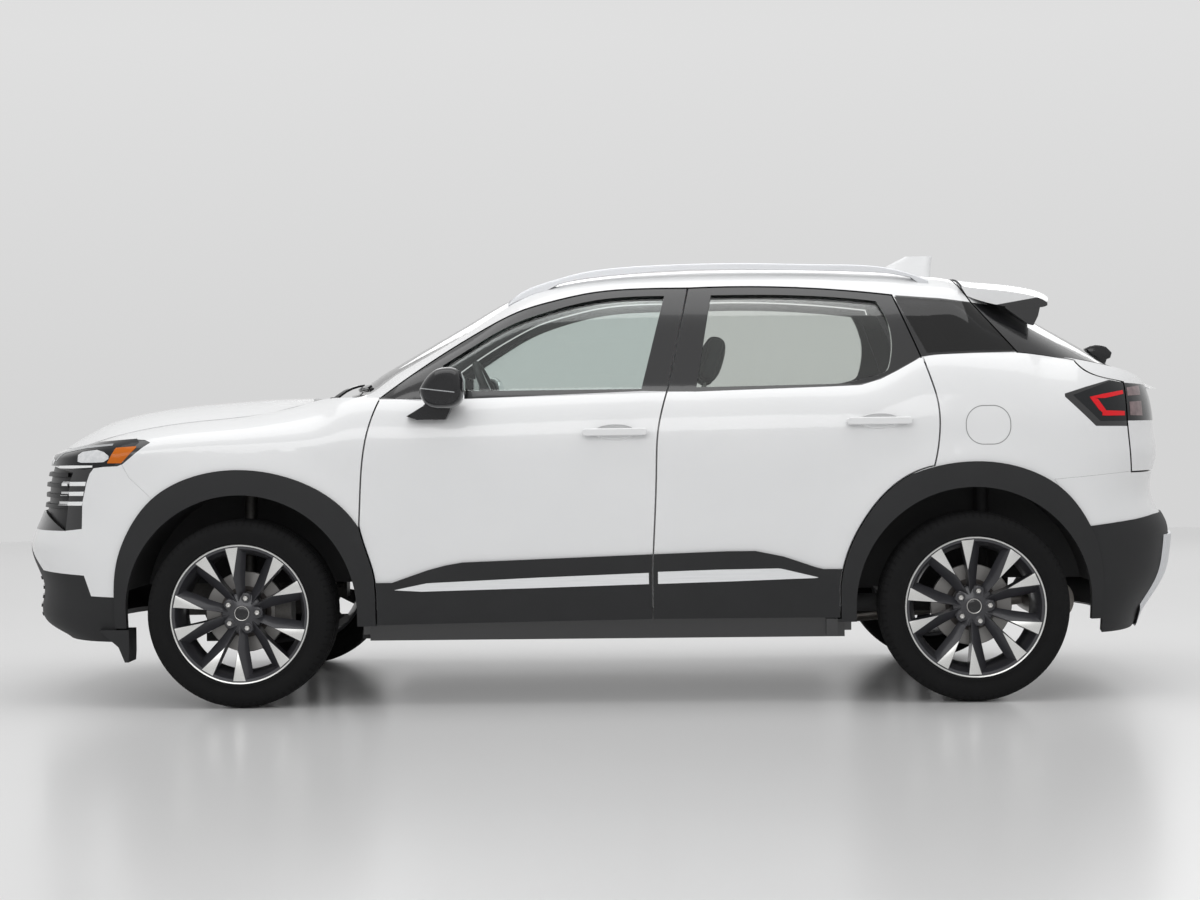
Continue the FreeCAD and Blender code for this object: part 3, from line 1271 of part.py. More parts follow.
def door_handle(share, up):
    """Pull handle standing off the skin on its two ends, and the hand's hollow behind it."""
    x, z = station(share), level(up)
    y = skin_point(share, (up - curve(SHOULDER_SHARES, share)) * 2).y
    half, height, thick = mm.handle_length / 2, mm.handle_height, mm.handle_thickness
    bar = box(x - half, x + half, y + mm.handle_stand - thick, y + mm.handle_stand, z - height / 2, z + height / 2)
    bar = bar.makeFillet(height * HANDLE_END_SHARE, edges_along(bar, Vector(0, 1, 0)))
    bar = bar.makeFillet(thick * HANDLE_ROUND_SHARE, bar.Edges)
    feet = []
    for side in (1, -1):
        middle = x + side * (half - height)
        feet.append(box(middle - height * 0.8, middle + height * 0.8, y - thick, y + mm.handle_stand - thick / 2,
                        z - height / 2.6, z + height / 2.6))
    return joined([bar] + feet), grip_hollow(Vector(x, y, z))


def grip_hollow(centre):
    """Room for the fingers behind a handle, the cap of a flattened ball."""
    ball = Part.makeSphere(mm.grip_length)
    stretch = FreeCAD.Matrix()
    stretch.scale(1, mm.grip_depth / mm.grip_length, mm.grip_height / mm.grip_length)
    ball = ball.transformGeometry(stretch)
    ball.translate(centre)
    return ball


def door_glass(stem, window):
    pane = slab(upper_rows, mm.glass_inset, mm.glass_inset + mm.glass_thickness)
    pair(stem, pane.common(side_prism(grown(window, -mm.seat_gap))))


def door_cladding(stem, outline):
    band = side_prism(straight(side_view(CLADDING_SHARES + CLADDING_LOW_SHARES)))
    piece = slab(side_rows, -mm.cladding_out, -2 * mm.seat_gap).common(band)
    pair(stem, piece.common(side_prism(grown(outline, -mm.shut_gap / 2))))


MIRROR_SHARE = 0.285
MIRROR_ROOT_SHARE = 0.93
MIRROR_CORNER_POWER = 2.7
MIRROR_SLANT_SHARE = 0.24
MIRROR_SECTION_SHARES = [(0, 0.78, 0.8), (0.3, 0.95, 0.97), (0.68, 1, 1), (0.93, 0.86, 0.84), (1, 0.62, 0.6)]
FOOT_SHARES = [(0.2325, 0.6555), (0.2555, 0.6785), (0.27, 0.705), (0.3, 0.705), (0.292, 0.669), (0.286, 0.6475),
               (0.2475, 0.6475)]


def mirror_section(out, length_share, height_share):
    """Closed smooth section of a mirror's head, slanting back at its upper front."""
    centre = Vector(station(MIRROR_SHARE), across(MIRROR_ROOT_SHARE) + out * mm.mirror_width,
                    mm.mirror_level + mm.mirror_height / 2)
    points = []
    for step in range(16):
        turn = step * math.pi / 8
        x = math.copysign(abs(math.cos(turn)) ** (2 / MIRROR_CORNER_POWER), math.cos(turn))
        z = math.copysign(abs(math.sin(turn)) ** (2 / MIRROR_CORNER_POWER), math.sin(turn))
        x -= MIRROR_SLANT_SHARE * max(z, 0) * (1 + x)
        points.append(centre + Vector(x * length_share * mm.mirror_length / 2, 0,
                                      z * height_share * mm.mirror_height / 2))
    ring = Part.BSplineCurve()
    ring.interpolate(points, PeriodicFlag=True)
    return Part.Wire([ring.toShape()])


def door_mirrors():
    """Mirror heads on their feet, which stand on the front doors' skin."""
    head = Part.makeLoft([mirror_section(*shares) for shares in MIRROR_SECTION_SHARES], True, False)
    root = across(MIRROR_ROOT_SHARE)
    foot = side_prism(straight(side_view(FOOT_SHARES)), root - 2 * mm.mirror_foot, root + mm.mirror_foot)
    foot = foot.cut(closed_solid(sunk(side_rows, -mm.seat_gap), sunk(side_rows, 4 * mm.mirror_foot)))
    foot = foot.cut(closed_solid(layer(upper_rows, -mm.seat_gap), layer(upper_rows, 2 * mm.mirror_foot)))
    pair("mirror", joined([head, foot]))


# tailgate

def rear_window_outline(shrink=0.0):
    top = [bowed(1.27, part, -mm.tail_bow) for part in spread(-0.56, 0.56, 7)]
    bottom = [bowed(1.84, part, -mm.tail_bow) for part in spread(0.58, -0.58, 7)]
    return grown([top, [top[-1], bottom[0]], bottom, [bottom[-1], top[0]]], -shrink)


PLATE_SHARE = 1.915
SPOILER_TOP_SHARES = [(0.98, 0.974), (1.05, 0.9665), (1.238, 0.9575), (1.35, 0.949), (1.431, 0.938), (1.465, 0.9285)]
SPOILER_UNDER_SHARES = [(0.98, 0.955), (1.1, 0.936), (1.238, 0.922), (1.35, 0.917), (1.431, 0.919), (1.465, 0.9235)]
SPOILER_HALF_SHARE = 0.635
SPOILER_START_SHARE = 1.0
SPOILER_END_SHARE = 1.462
GATE_FIN_SHARES = [(1.2, 0.92), (1.36, 0.912), (1.364, 0.9), (1.35, 0.87), (1.329, 0.849), (1.3, 0.853),
                   (1.2, 0.89)]


def spoiler_rows(table):
    """Grid of the spoiler's top or underside, swept forward and falling away towards its ends."""
    rows = []
    for share in spread(SPOILER_END_SHARE, SPOILER_START_SHARE, 12):
        back = (share - SPOILER_START_SHARE) / (SPOILER_END_SHARE - SPOILER_START_SHARE)
        row = []
        for out in spread(1, -1, 15):
            x = station(share) + mm.spoiler_sweep * back * out ** 2
            row.append(Vector(x, across(SPOILER_HALF_SHARE) * out,
                              level(curve(table, share)) - mm.spoiler_crown * abs(out) ** 3))
        rows.append(row)
    return rows


def spoiler():
    """Roof spoiler with the upright fin under each of its ends."""
    wing = closed_solid(spoiler_rows(SPOILER_TOP_SHARES), spoiler_rows(SPOILER_UNDER_SHARES))
    outer = across(SPOILER_HALF_SHARE) - mm.seat_gap
    fin = side_prism(straight(side_view(GATE_FIN_SHARES)), outer - 2 * mm.gate_fin_half, outer)
    fin = fin.cut(closed_solid(spoiler_rows(SPOILER_TOP_SHARES), [
        [point + Vector(0, 0, mm.roof_height / 4) for point in row] for row in spoiler_rows(SPOILER_TOP_SHARES)]))
    return joined([wing, fin, mirror(fin)])


def tailgate():
    own = through_prism(tailgate_outline)
    lower = slab(tail_rows, 0, mm.door_skin).common(own)
    upper = slab(upper_rows, 0, mm.door_skin).common(own)
    upper = upper.common(box(station(2.2), station(0.9), -mm.half_width, mm.half_width, level(0.7), mm.roof_height))
    upper = upper.cut(plan_prism(rear_window_outline(), level(0.6), 2 * mm.roof_height))
    lamp_room = through_prism(grown(straight(side_view(INNER_LAMP_SHARES)), mm.seat_gap))
    inner_half = across(TAIL_LAMP_INNER_HALF_SHARE)
    inner = box(-mm.wheelbase, station(1.5), -inner_half, inner_half, 0, mm.roof_height)
    lamp_room = lamp_room.cut(inner)
    plate = station(PLATE_SHARE)
    half, low, high = mm.plate_width / 2, mm.plate_level - mm.plate_height / 2, mm.plate_level + mm.plate_height / 2
    recess = box(plate - 2 * mm.overrun, plate, -half, half, low, high)
    rim_room = mm.panel_thickness
    backing = box(plate, plate + mm.door_skin, -half - rim_room, half + rim_room, low - rim_room, high + rim_room)
    shell = joined([lower.cut(lamp_room), upper.cut(lamp_room), spoiler().common(own)]).cut(recess).fuse(backing)
    screws = [rod(Vector(plate - mm.overrun, side * mm.plate_hole_spacing / 2, mm.plate_hole_level),
                  Vector(plate + mm.plate_hole_depth, side * mm.plate_hole_spacing / 2, mm.plate_hole_level),
                  mm.plate_hole_radius) for side in (1, -1)]
    feature("tailgate", shell.cut(group(screws)).removeSplitter())


def tailgate_glass():
    pane = slab(upper_rows, mm.seat_gap, mm.glass_thickness)
    feature("tailgate_glass", pane.common(plan_prism(rear_window_outline(mm.seat_gap), level(0.6), 2 * mm.roof_height)))


def tailgate_lamps():
    lamp = slab(tail_rows, 0, mm.door_skin)
    lamp = lamp.common(side_prism(straight(side_view(INNER_LAMP_SHARES)),
                                  across(TAIL_LAMP_INNER_HALF_SHARE) + mm.seat_gap))
    lamp = lamp.common(side_prism(tailgate_outline))
    feature("tailgate_lamps", group([lamp, mirror(lamp)]))


WIPER_LUMP_SHARES = [(1.706, 0.74), (1.706, 0.805), (1.71, 0.8085), (1.757, 0.81), (1.825, 0.803), (1.832, 0.795),
                     (1.832, 0.74)]
WIPER_ARM_SHARE = 1.77
WIPER_BLADE_SHARE = 1.69
WIPER_REACH_SHARES = (0.02, 0.3)
BLADE_REACH_SHARES = (0.1, 0.52)


def pipe(points, radius):
    """Round bar along a smooth line."""
    path = Part.BSplineCurve()
    path.interpolate(points)
    ring = Part.Wire([Part.makeCircle(radius, points[0], path.tangent(path.FirstParameter)[0])])
    return Part.Wire([path.toShape()]).makePipeShell([ring], True, True)


def wiper_line(shares, start_share, end_share, clear):
    points = []
    for reach in spread(*shares, 6):
        part = (reach - shares[0]) / (shares[1] - shares[0])
        x, y = station(start_share + (end_share - start_share) * part), -across(reach)
        points.append(Vector(x, y, upper_level(x, -y) + clear))
    return points


def rear_wiper():
    """Wiper's cap at the foot of the rear window, with its arm and blade lying along the glass."""
    half = mm.wiper_cap_half
    cap = side_prism(straight(side_view(WIPER_LUMP_SHARES)), -half, half)
    arm = pipe(wiper_line(WIPER_REACH_SHARES, WIPER_ARM_SHARE, WIPER_BLADE_SHARE, 3 * mm.wiper_arm_radius),
               mm.wiper_arm_radius)
    blade = pipe(wiper_line(BLADE_REACH_SHARES, WIPER_BLADE_SHARE, WIPER_BLADE_SHARE, 2 * mm.wiper_arm_radius),
                 mm.wiper_blade_radius)
    whole = joined([cap, arm, blade]).cut(slab(upper_rows, -mm.seat_gap, mm.cant_depth))
    feature("rear_wiper", whole)


RAIL_SHARE = 0.58
RAIL_TOP_SHARES = [(0.3633, 0.917), (0.38, 0.9405), (0.4224, 0.968), (0.4648, 0.9863), (0.5165, 0.9975),
                   (0.5868, 1.003), (0.7177, 1.0035), (0.803, 0.9988), (0.89, 0.9905), (0.925, 0.977), (0.955, 0.957)]
RAIL_UNDER_SHARES = [(0.93, 0.9655), (0.8973, 0.9758), (0.803, 0.9841), (0.7176, 0.9885), (0.6101, 0.9898),
                     (0.5023, 0.9785), (0.46, 0.97), (0.4341, 0.9599)]
RAIL_END_SHARES = [(0.955, 0.935), (0.4, 0.93), (0.3633, 0.9)]


def roof_rails():
    """Slim rails along the roof's edges, let down onto the roof at both ends."""
    top, under, ends = side_view(RAIL_TOP_SHARES), side_view(RAIL_UNDER_SHARES), side_view(RAIL_END_SHARES)
    outline = [top, [top[-1], ends[0]], [ends[0], under[0]], under, [under[-1], ends[1]], [ends[1], ends[2]],
               [ends[2], top[0]]]
    right = across(RAIL_SHARE) - mm.rail_width / 2
    bar = side_prism(outline, right, right + mm.rail_width)
    long_edges = [edge for edge in bar.Edges
                  if edge.Length > mm.wheelbase / 3 and edge.BoundBox.ZMax > level(1)]
    bar = bar.makeFillet(mm.rail_width / 4, long_edges)
    rail = bar.cut(slab(upper_rows, -mm.seat_gap, mm.cant_depth))
    feature("roof_rails", group([rail, mirror(rail)]))


def upper_level(x, y):
    """Level of the finished upper body above a plan point."""
    low, high = FIRST_RAY, math.pi / 2
    for _ in range(30):
        angle = (low + high) / 2
        if upper_point(share_at(x), angle).y > y:
            low = angle
        else:
            high = angle
    return upper_point(share_at(x), low).z


# cabin

CUSHION_ROUND_SHARE = 0.3
BACK_ROUND_SHARE = 0.35
BACK_LEAN = -17


def seat(x, y, width, hip, floor, tall):
    """Cushion on its base, with a leaning back and headrest."""
    z = hip - mm.seat_height
    cushion = box(x - mm.seat_length / 2, x + mm.seat_length / 2, y - width / 2, y + width / 2, z, hip)
    cushion = cushion.makeFillet(mm.seat_height * CUSHION_ROUND_SHARE, cushion.Edges)
    base = box(x - mm.seat_length / 3, x + mm.seat_length / 3, y - width / 3, y + width / 3, floor + mm.seat_gap,
               z + mm.seat_height / 4)
    back = box(-mm.seat_back_thickness, 0, y - width / 2, y + width / 2, 0, tall)
    back = back.makeFillet(mm.seat_back_thickness * BACK_ROUND_SHARE, back.Edges)
    rest = box(-mm.headrest_thickness, 0, y - mm.headrest_width / 2, y + mm.headrest_width / 2,
               tall - mm.seat_back_thickness / 6, tall + mm.headrest_height)
    rest = rest.makeFillet(mm.headrest_thickness * CUSHION_ROUND_SHARE, rest.Edges)
    upper = joined([back, rest])
    upper.rotate(Vector(0, 0, 0), Vector(0, 1, 0), BACK_LEAN)
    upper.translate(Vector(x - mm.seat_length / 2 + mm.seat_back_thickness, 0, z + mm.seat_height / 2))
    return joined([cushion, base, upper])


def seats():
    floor = mm.floor_level + mm.floor_thickness
    front = [seat(station(0.5), side * mm.seat_middle, mm.seat_width, mm.seat_hip_level, floor, mm.seat_back_height)
             for side in (1, -1)]
    feature("front_seats", group(front))
    width = 2 * mm.rear_wheelhouse_in
    bench = seat(station(0.845), 0, width, mm.bench_hip_level, mm.floor_level + mm.kick_up + mm.floor_thickness,
                 mm.bench_back_height)
    feature("rear_bench", bench)


def dashboard():
    half = mm.cabin_half
    front = station(FIREWALL_SHARE) - mm.firewall_thickness - mm.seat_gap
    start = [(front, level(share)) for share in DASHBOARD_FRONT_SHARES]
    panel = side_prism(straight(start + side_view(DASHBOARD_SHARES)), -half, half)
    feature("dashboard", panel)


WHEEL_PLACE_SHARES = (0.341, 0.676)
WHEEL_HUB_SHARE = 0.3
WHEEL_LEAN = -65


def steering_wheel():
    """Rim, hub and three spokes, square to the leaning column."""
    centre = Vector(station(WHEEL_PLACE_SHARES[0]), mm.seat_middle, level(WHEEL_PLACE_SHARES[1]))
    ring = Part.makeTorus(mm.steering_wheel_radius, mm.steering_wheel_grip)
    hub = Part.makeCylinder(mm.steering_wheel_radius * WHEEL_HUB_SHARE, mm.steering_wheel_grip * 2,
                            Vector(0, 0, -mm.steering_wheel_grip))
    spokes = []
    for angle in (0, 180, 270):
        arm = box(0, mm.steering_wheel_radius, -mm.steering_wheel_grip, mm.steering_wheel_grip,
                  -mm.steering_wheel_grip / 2, mm.steering_wheel_grip / 2)
        arm.rotate(Vector(0, 0, 0), Vector(0, 0, 1), angle + 90)
        spokes.append(arm)
    wheel = joined([ring, hub] + spokes)
    wheel.rotate(Vector(0, 0, 0), Vector(0, 1, 0), WHEEL_LEAN)
    wheel.translate(centre)
    feature("steering_wheel", wheel)


for corner, axle_words, side_sign in (("front_left", FRONT_AXLE_TEXT, 1), ("front_right", FRONT_AXLE_TEXT, -1),
                                      ("rear_left", REAR_AXLE_TEXT, 1), ("rear_right", REAR_AXLE_TEXT, -1)):
    tyre("tyre_" + corner, axle_words, side_sign)
    rim("rim_" + corner, axle_words, side_sign)
knuckles()
side_frames()
for row_of_doors, outline, window, handle_shares in (
        ("front_door", front_door_outline, door_outline(FRONT_WINDOW_SHARES), FRONT_HANDLE_SHARES),
        ("rear_door", rear_door_outline, door_outline(REAR_WINDOW_SHARES), REAR_HANDLE_SHARES)):
    doors(row_of_doors, outline, window, handle_shares)
    door_glass(row_of_doors + "_glass", window)
    door_cladding(row_of_doors + "_cladding", outline)
door_mirrors()
floor_pan()
roof_panel()
windscreen()
cowl()
hood()
fenders()
front_bumper()
front_grille()
lower_front()
lamps()
rear_bumpers()
arch_claddings()
quarter_windows()
tailgate()
tailgate_glass()
tailgate_lamps()
rear_wiper()
roof_rails()
rear_axle_beam()
front_subframe()
exhaust()
engine()
seats()
dashboard()
steering_wheel()

doc.recompute()
for item in doc.Objects:
    if "Invalid" in item.State or "Error" in item.State:
        raise RuntimeError(f"{item.Label} failed: {item.State}")
os.makedirs("parts", exist_ok=True)
for item in subparts:
    if item.Shape.isNull() or not item.Shape.isValid() or not item.Shape.Solids:
        raise RuntimeError(f"{item.Label} has no valid solid")
for item in subparts:
    item.Shape.exportStep(os.path.join("parts", item.Label + ".step"))
    print(item.Label, len(item.Shape.Solids), round(item.Shape.Volume))
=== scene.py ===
import math

import bmesh
import bpy
from mathutils import Matrix, Vector


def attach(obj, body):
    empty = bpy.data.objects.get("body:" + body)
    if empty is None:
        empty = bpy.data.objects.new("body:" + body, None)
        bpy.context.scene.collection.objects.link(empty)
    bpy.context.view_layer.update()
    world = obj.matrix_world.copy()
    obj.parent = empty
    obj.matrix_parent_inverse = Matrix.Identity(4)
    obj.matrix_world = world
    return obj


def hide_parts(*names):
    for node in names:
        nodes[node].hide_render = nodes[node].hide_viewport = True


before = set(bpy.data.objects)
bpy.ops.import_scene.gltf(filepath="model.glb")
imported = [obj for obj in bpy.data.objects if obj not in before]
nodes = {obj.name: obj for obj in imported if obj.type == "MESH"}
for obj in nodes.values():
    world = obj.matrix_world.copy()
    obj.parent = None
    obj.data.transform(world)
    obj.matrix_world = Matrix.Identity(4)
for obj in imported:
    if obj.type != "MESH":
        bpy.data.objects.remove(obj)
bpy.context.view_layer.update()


# Studio: a pale polished floor that runs out to a light grey wall, far behind the car.
# The wall is the world itself, shaded softly towards the top, and three wide soft lights stand round the car.
FLOOR_RADIUS = 13
bpy.ops.object.select_all(action="DESELECT")
bpy.ops.mesh.primitive_circle_add(vertices=96, radius=FLOOR_RADIUS, fill_type="TRIFAN", location=(0, 0, 0))
floor = bpy.context.object
floor.name = "studio_floor"


class Wire:
    """One value in a material, so that its sums can be written as plain sums."""

    def __init__(self, finish, socket):
        self.finish = finish
        self.socket = socket

    def sum(self, operation, *terms):
        return self.finish.wire("Math", {"operation": operation}, dict(enumerate(terms)))

    def __add__(self, other):
        return self.sum("ADD", self, other)

    __radd__ = __add__

    def __sub__(self, other):
        return self.sum("SUBTRACT", self, other)

    def __rsub__(self, other):
        return self.sum("SUBTRACT", other, self)

    def __mul__(self, other):
        return self.sum("MULTIPLY", self, other)

    def __truediv__(self, other):
        return self.sum("DIVIDE", self, other)

    def __pow__(self, other):
        return self.sum("POWER", self, other)

    def sine(self):
        return self.sum("SINE", self)

    def size(self):
        return self.sum("ABSOLUTE", self)

    def above(self, low, high):
        """0 up to low, 1 from high on, and a smooth rise between."""
        return self.finish.wire("MapRange", {"interpolation_type": "SMOOTHSTEP"},
                                {"Value": self, "From Min": low, "From Max": high})


class Finish:
    """A material, or the world's shading, whose nodes are all added by one method."""

    def __init__(self, name, store="materials"):
        self.material = getattr(bpy.data, store).new(name)
        self.material.use_nodes = True
        self.tree = self.material.node_tree
        self.tree.nodes.clear()

    def node(self, kind, settings=None, sockets=None):
        made = self.tree.nodes.new("ShaderNode" + kind)
        for key, value in (settings or {}).items():
            if key == "stops":
                while len(made.color_ramp.elements) < len(value):
                    made.color_ramp.elements.new(1)
                for element, (place, height) in zip(made.color_ramp.elements, value):
                    element.position = place
                    element.color = (height, height, height, 1)
            else:
                setattr(made, key, value)
        for key, value in (sockets or {}).items():
            if isinstance(value, Wire):
                self.tree.links.new(value.socket, made.inputs[key])
            else:
                made.inputs[key].default_value = value
        return made

    def wire(self, kind, settings=None, sockets=None, output=0):
        return Wire(self, self.node(kind, settings, sockets).outputs[output])

    def split(self, kind):
        parts = self.node("SeparateXYZ", {}, {0: self.wire("TexCoord", output=kind)})
        return [Wire(self, parts.outputs[axis]) for axis in "XYZ"]

    def place(self):
        """The point's own X, Y and Z in metres."""
        return self.split("Object")

    def facing(self):
        """The surface's own direction as X, Y and Z."""
        return self.split("Normal")

    def line(self, share, points):
        """Height of a broken line of (place, height) points over the share, by straight runs."""
        first, last = points[0][0], points[-1][0]
        low = min(height for place, height in points)
        span = max(height for place, height in points) - low
        stops = [((place - first) / (last - first), (height - low) / span) for place, height in points]
        return self.wire("ValToRGB", {"stops": stops}, {0: (share - first) / (last - first)}) * span + low

    def noise(self, scale, detail=2.0, stretch=(1, 1, 1)):
        spot = self.wire("Mapping", {}, {"Vector": self.wire("TexCoord", output="Object"), "Scale": stretch})
        return self.wire("TexNoise", {}, {"Vector": spot, "Scale": scale, "Detail": detail})

    def blend(self, share, first, second):
        first, second = [(*tone, 1) if isinstance(tone, tuple) else tone for tone in (first, second)]
        return self.wire("Mix", {"data_type": "RGBA"}, {0: share, 6: first, 7: second}, output=2)

    def bump(self, height, strength, depth):
        return self.wire("Bump", {}, {"Height": height, "Strength": strength, "Distance": depth})

    def shaded(self, shader):
        self.node("OutputMaterial", {}, {"Surface": shader})
        return self.material

    def solid(self, **sockets):
        named = {key.replace("_", " ").title().replace("Ior", "IOR"): value for key, value in sockets.items()}
        return self.shaded(self.wire("BsdfPrincipled", {}, named))


def grainy(name, tones, rough, noise, tone=None, bump=None, **sockets):
    """Two tones and a roughness mixed by one noise, or the tones by a noise of their own."""
    finish = Finish(name)
    grain = finish.noise(*noise)
    cloud = finish.noise(*tone) if tone else grain
    if bump:
        sockets["normal"] = finish.bump(grain, *bump)
    least, spread = rough
    return finish.solid(base_color=finish.blend(cloud, *tones), roughness=least + grain * spread, **sockets)


floor.data.materials.append(grainy(
    "polished_floor", ((0.69, 0.69, 0.69), (0.72, 0.72, 0.72)), (0.28, 0.02), (0.7, 3),
    coat_weight=0.2, coat_roughness=0.15))

WALL_LOW, WALL_HIGH, WALL_RISE = 0.66, 0.74, 0.16
wall = Finish("studio_wall", "worlds")
wall_stops = {"stops": [(0, WALL_LOW), (WALL_RISE, WALL_HIGH)]}
shade = wall.wire("ValToRGB", wall_stops, {0: wall.split("Generated")[2]})
wall.node("OutputWorld", {}, {"Surface": wall.wire("Background", {}, {"Color": shade})})
bpy.context.scene.world = wall.material


def soft_light(name, place, size, watts, target):
    """Wide soft lamp that faces the target."""
    lamp = bpy.data.lights.new(name, "AREA")
    lamp.shape = "RECTANGLE"
    lamp.size, lamp.size_y = size
    lamp.energy = watts
    holder = bpy.data.objects.new(name, lamp)
    holder.location = place
    holder.rotation_euler = (Vector(target) - Vector(place)).to_track_quat("-Z", "Y").to_euler()
    bpy.context.scene.collection.objects.link(holder)


soft_light("ceiling_light", (0, 0.5, 5.5), (7, 4), 118, (0, 0, 0))
soft_light("side_light", (1.5, 9, 4.5), (8, 3), 150, (0, 0, 0.6))
soft_light("far_light", (-1, -9, 4.5), (8, 3), 100, (0, 0, 0.6))

CAMERA_PLACE, CAMERA_TURN = (-0.3056, 9.3183, 1.0254), (89.3016, 0.7188, -178.1939)
LENS_MM, SENSOR_MM = 70.28, 36
view_camera = bpy.data.cameras.new("camera")
view_camera.sensor_width = SENSOR_MM
view_camera.lens = LENS_MM
camera = bpy.data.objects.new("camera", view_camera)
camera.location = CAMERA_PLACE
camera.rotation_euler = [math.radians(angle) for angle in CAMERA_TURN]
bpy.context.scene.collection.objects.link(camera)
bpy.context.scene.camera = camera
bpy.context.scene.view_settings.view_transform = "Standard"


# White body panels: pressed steel in gloss white under clear coat, bare of trim on the inside.
# Gloss black film covers the window frames of the doors and the pillars behind them, and runs on
# behind the lamps and beside the grille. A fine groove shows the fuel flap on the left side.
ENDS = (("front", 1.276), ("rear", -1.38))
BELT_LINE = [
    (-1.96, 1.2), (-1.91, 1.204), (-1.839, 1.218), (-1.759, 1.234), (-1.56, 1.262), (-1.394, 1.259),
    (-1.26, 1.2535), (-1.211, 1.247), (-1.116, 1.195), (-1.057, 1.166), (-0.984, 1.145), (-0.385, 1.129),
    (-0.194, 1.134), (0.469, 1.113), (0.757, 1.116), (0.9, 1.118)]
CANT_LINE = [(-1.96, 1.5), (-1.647, 1.464), (-1.51, 1.441), (-1.417, 1.449), (-1.296, 1.466), (-1.12, 1.48)]
LAMP_RIM_LOW = [(1.603, 0.968), (1.63, 0.95), (1.7, 0.892), (1.72, 0.884), (1.81, 0.881)]
LAMP_RIM_HIGH = [(1.603, 0.97), (1.625, 0.979), (1.655, 0.981), (1.66, 0.955), (1.7, 0.9), (1.81, 0.892)]
GRILLE_REAR = [(0.657, 1.862), (0.75, 1.859), (0.8275, 1.839), (0.8585, 1.826), (0.8775, 1.81)]
GRILLE_LOW = [(1.8, 0.656), (1.862, 0.656), (1.935, 0.648), (2.2, 0.646)]
TAIL_RIM_LOW = [(-1.95, 0.985), (-1.823, 0.987), (-1.7135, 1.094)]
TAIL_RIM_HIGH = [(-1.95, 1.156), (-1.888, 1.154), (-1.793, 1.129), (-1.7135, 1.105)]
LINE_BLUR = 0.0006
FLAP_X, FLAP_Z, FLAP_ROUND = -1.4345, 0.9959, 0.0635
FLAP_FLAT_X, FLAP_FLAT_Z = 0.0165, 0.006
PILLAR_FRONT = -1.13
SILL_LEVEL = 0.345
ARCH_LEVEL, ARCH_EDGE = 0.3505, 0.43
PAINT_ROUGH = 0.34
WHITE_LOW, WHITE_HIGH = (0.75, 0.757, 0.765), (0.79, 0.795, 0.8)
FILM_BLACK = (0.011, 0.011, 0.012)
CARD_GREY = (0.05, 0.051, 0.054)


def any_of(paint, tests):
    """1 where at least one of the tests is 1."""
    none = 1 - tests[0](paint, *paint.place())
    for test in tests[1:]:
        none = none * (1 - test(paint, *paint.place()))
    return 1 - none


def body_paint(name, film, inside):
    """White paint with black film where a test of film is 1, and a dark inside where one of inside is."""
    paint = Finish(name)
    colour = paint.blend(paint.noise(3.5, 2), WHITE_LOW, WHITE_HIGH)
    rough, coat = PAINT_ROUGH, 1.0
    if film:
        black = any_of(paint, film)
        colour = paint.blend(black, colour, FILM_BLACK)
        rough = PAINT_ROUGH - black * 0.12
        coat = 1 - black * 0.4
    inner = any_of(paint, inside)
    colour = paint.blend(inner, colour, CARD_GREY)
    rough = rough + inner * (0.3 + paint.noise(600, 2) * 0.15)
    coat = (1 - inner) * coat
    return paint.solid(base_color=colour, roughness=rough, coat_weight=coat, coat_roughness=0.05,
                       normal=paint.bump(paint.noise(420, 1), 0.05, 0.0004))


def dress(finish, *stems):
    """Gives the finish to nodes; a stem without its side stands for the left and the right one."""
    for stem in stems:
        for name in (stem, f"{stem}_left", f"{stem}_right"):
            if name in nodes:
                nodes[name].data.materials.clear()
                nodes[name].data.materials.append(finish)


def over_line(paint, x, z, line):
    """0 below the broken line, 1 above it."""
    return (z - paint.line(x, line)).above(-LINE_BLUR, LINE_BLUR)


def frames(paint, x, y, z):
    return over_line(paint, x, z, BELT_LINE)


def pillars(paint, x, y, z):
    behind = 1 - x.above(PILLAR_FRONT - 0.005, PILLAR_FRONT + 0.005)
    return frames(paint, x, y, z) * (1 - over_line(paint, x, z, CANT_LINE)) * behind


def rim_of(paint, x, z, low, high):
    """Black edge of a lamp's cover, between two broken lines with the same ends."""
    rear, front = low[0][0], low[-1][0]
    lengthways = x.above(rear, rear + LINE_BLUR) * (1 - x.above(front - LINE_BLUR, front))
    return lengthways * over_line(paint, x, z, low) * (1 - over_line(paint, x, z, high))


def lamp_rim(paint, x, y, z):
    return rim_of(paint, x, z, LAMP_RIM_LOW, LAMP_RIM_HIGH)


def tail_rim(paint, x, y, z):
    return rim_of(paint, x, z, TAIL_RIM_LOW, TAIL_RIM_HIGH)


def grille_corner(paint, x, y, z):
    """Black corner beside the grille."""
    top = GRILLE_REAR[-1][0]
    behind = over_line(paint, z, x, GRILLE_REAR) * over_line(paint, x, z, GRILLE_LOW)
    return behind * (1 - z.above(top - LINE_BLUR, top))


def flap_line(paint, x, y, z):
    """Fine dark line round the fuel flap on the left side."""
    aside = x.sum("MAXIMUM", (x - FLAP_X).size() - FLAP_FLAT_X, 0)
    above = z.sum("MAXIMUM", (z - FLAP_Z).size() - FLAP_FLAT_Z, 0)
    off = ((aside * aside + above * above) ** 0.5 - FLAP_ROUND).size()
    return (1 - off.above(0.0012, 0.0022)) * y.above(0.5, 0.501) * 0.55


def sill(paint, x, y, z):
    return 1 - z.above(SILL_LEVEL, SILL_LEVEL + 0.002)


def faces_inwards(paint, x, y, z):
    return (0 - y * paint.facing()[1]).above(0.1, 0.16)


def under_roof(paint, x, y, z):
    return (0 - paint.facing()[2]).above(0.2, 0.3) * z.above(1.2, 1.22)


def faces_down(paint, x, y, z):
    return (0 - paint.facing()[2]).above(0.35, 0.5)


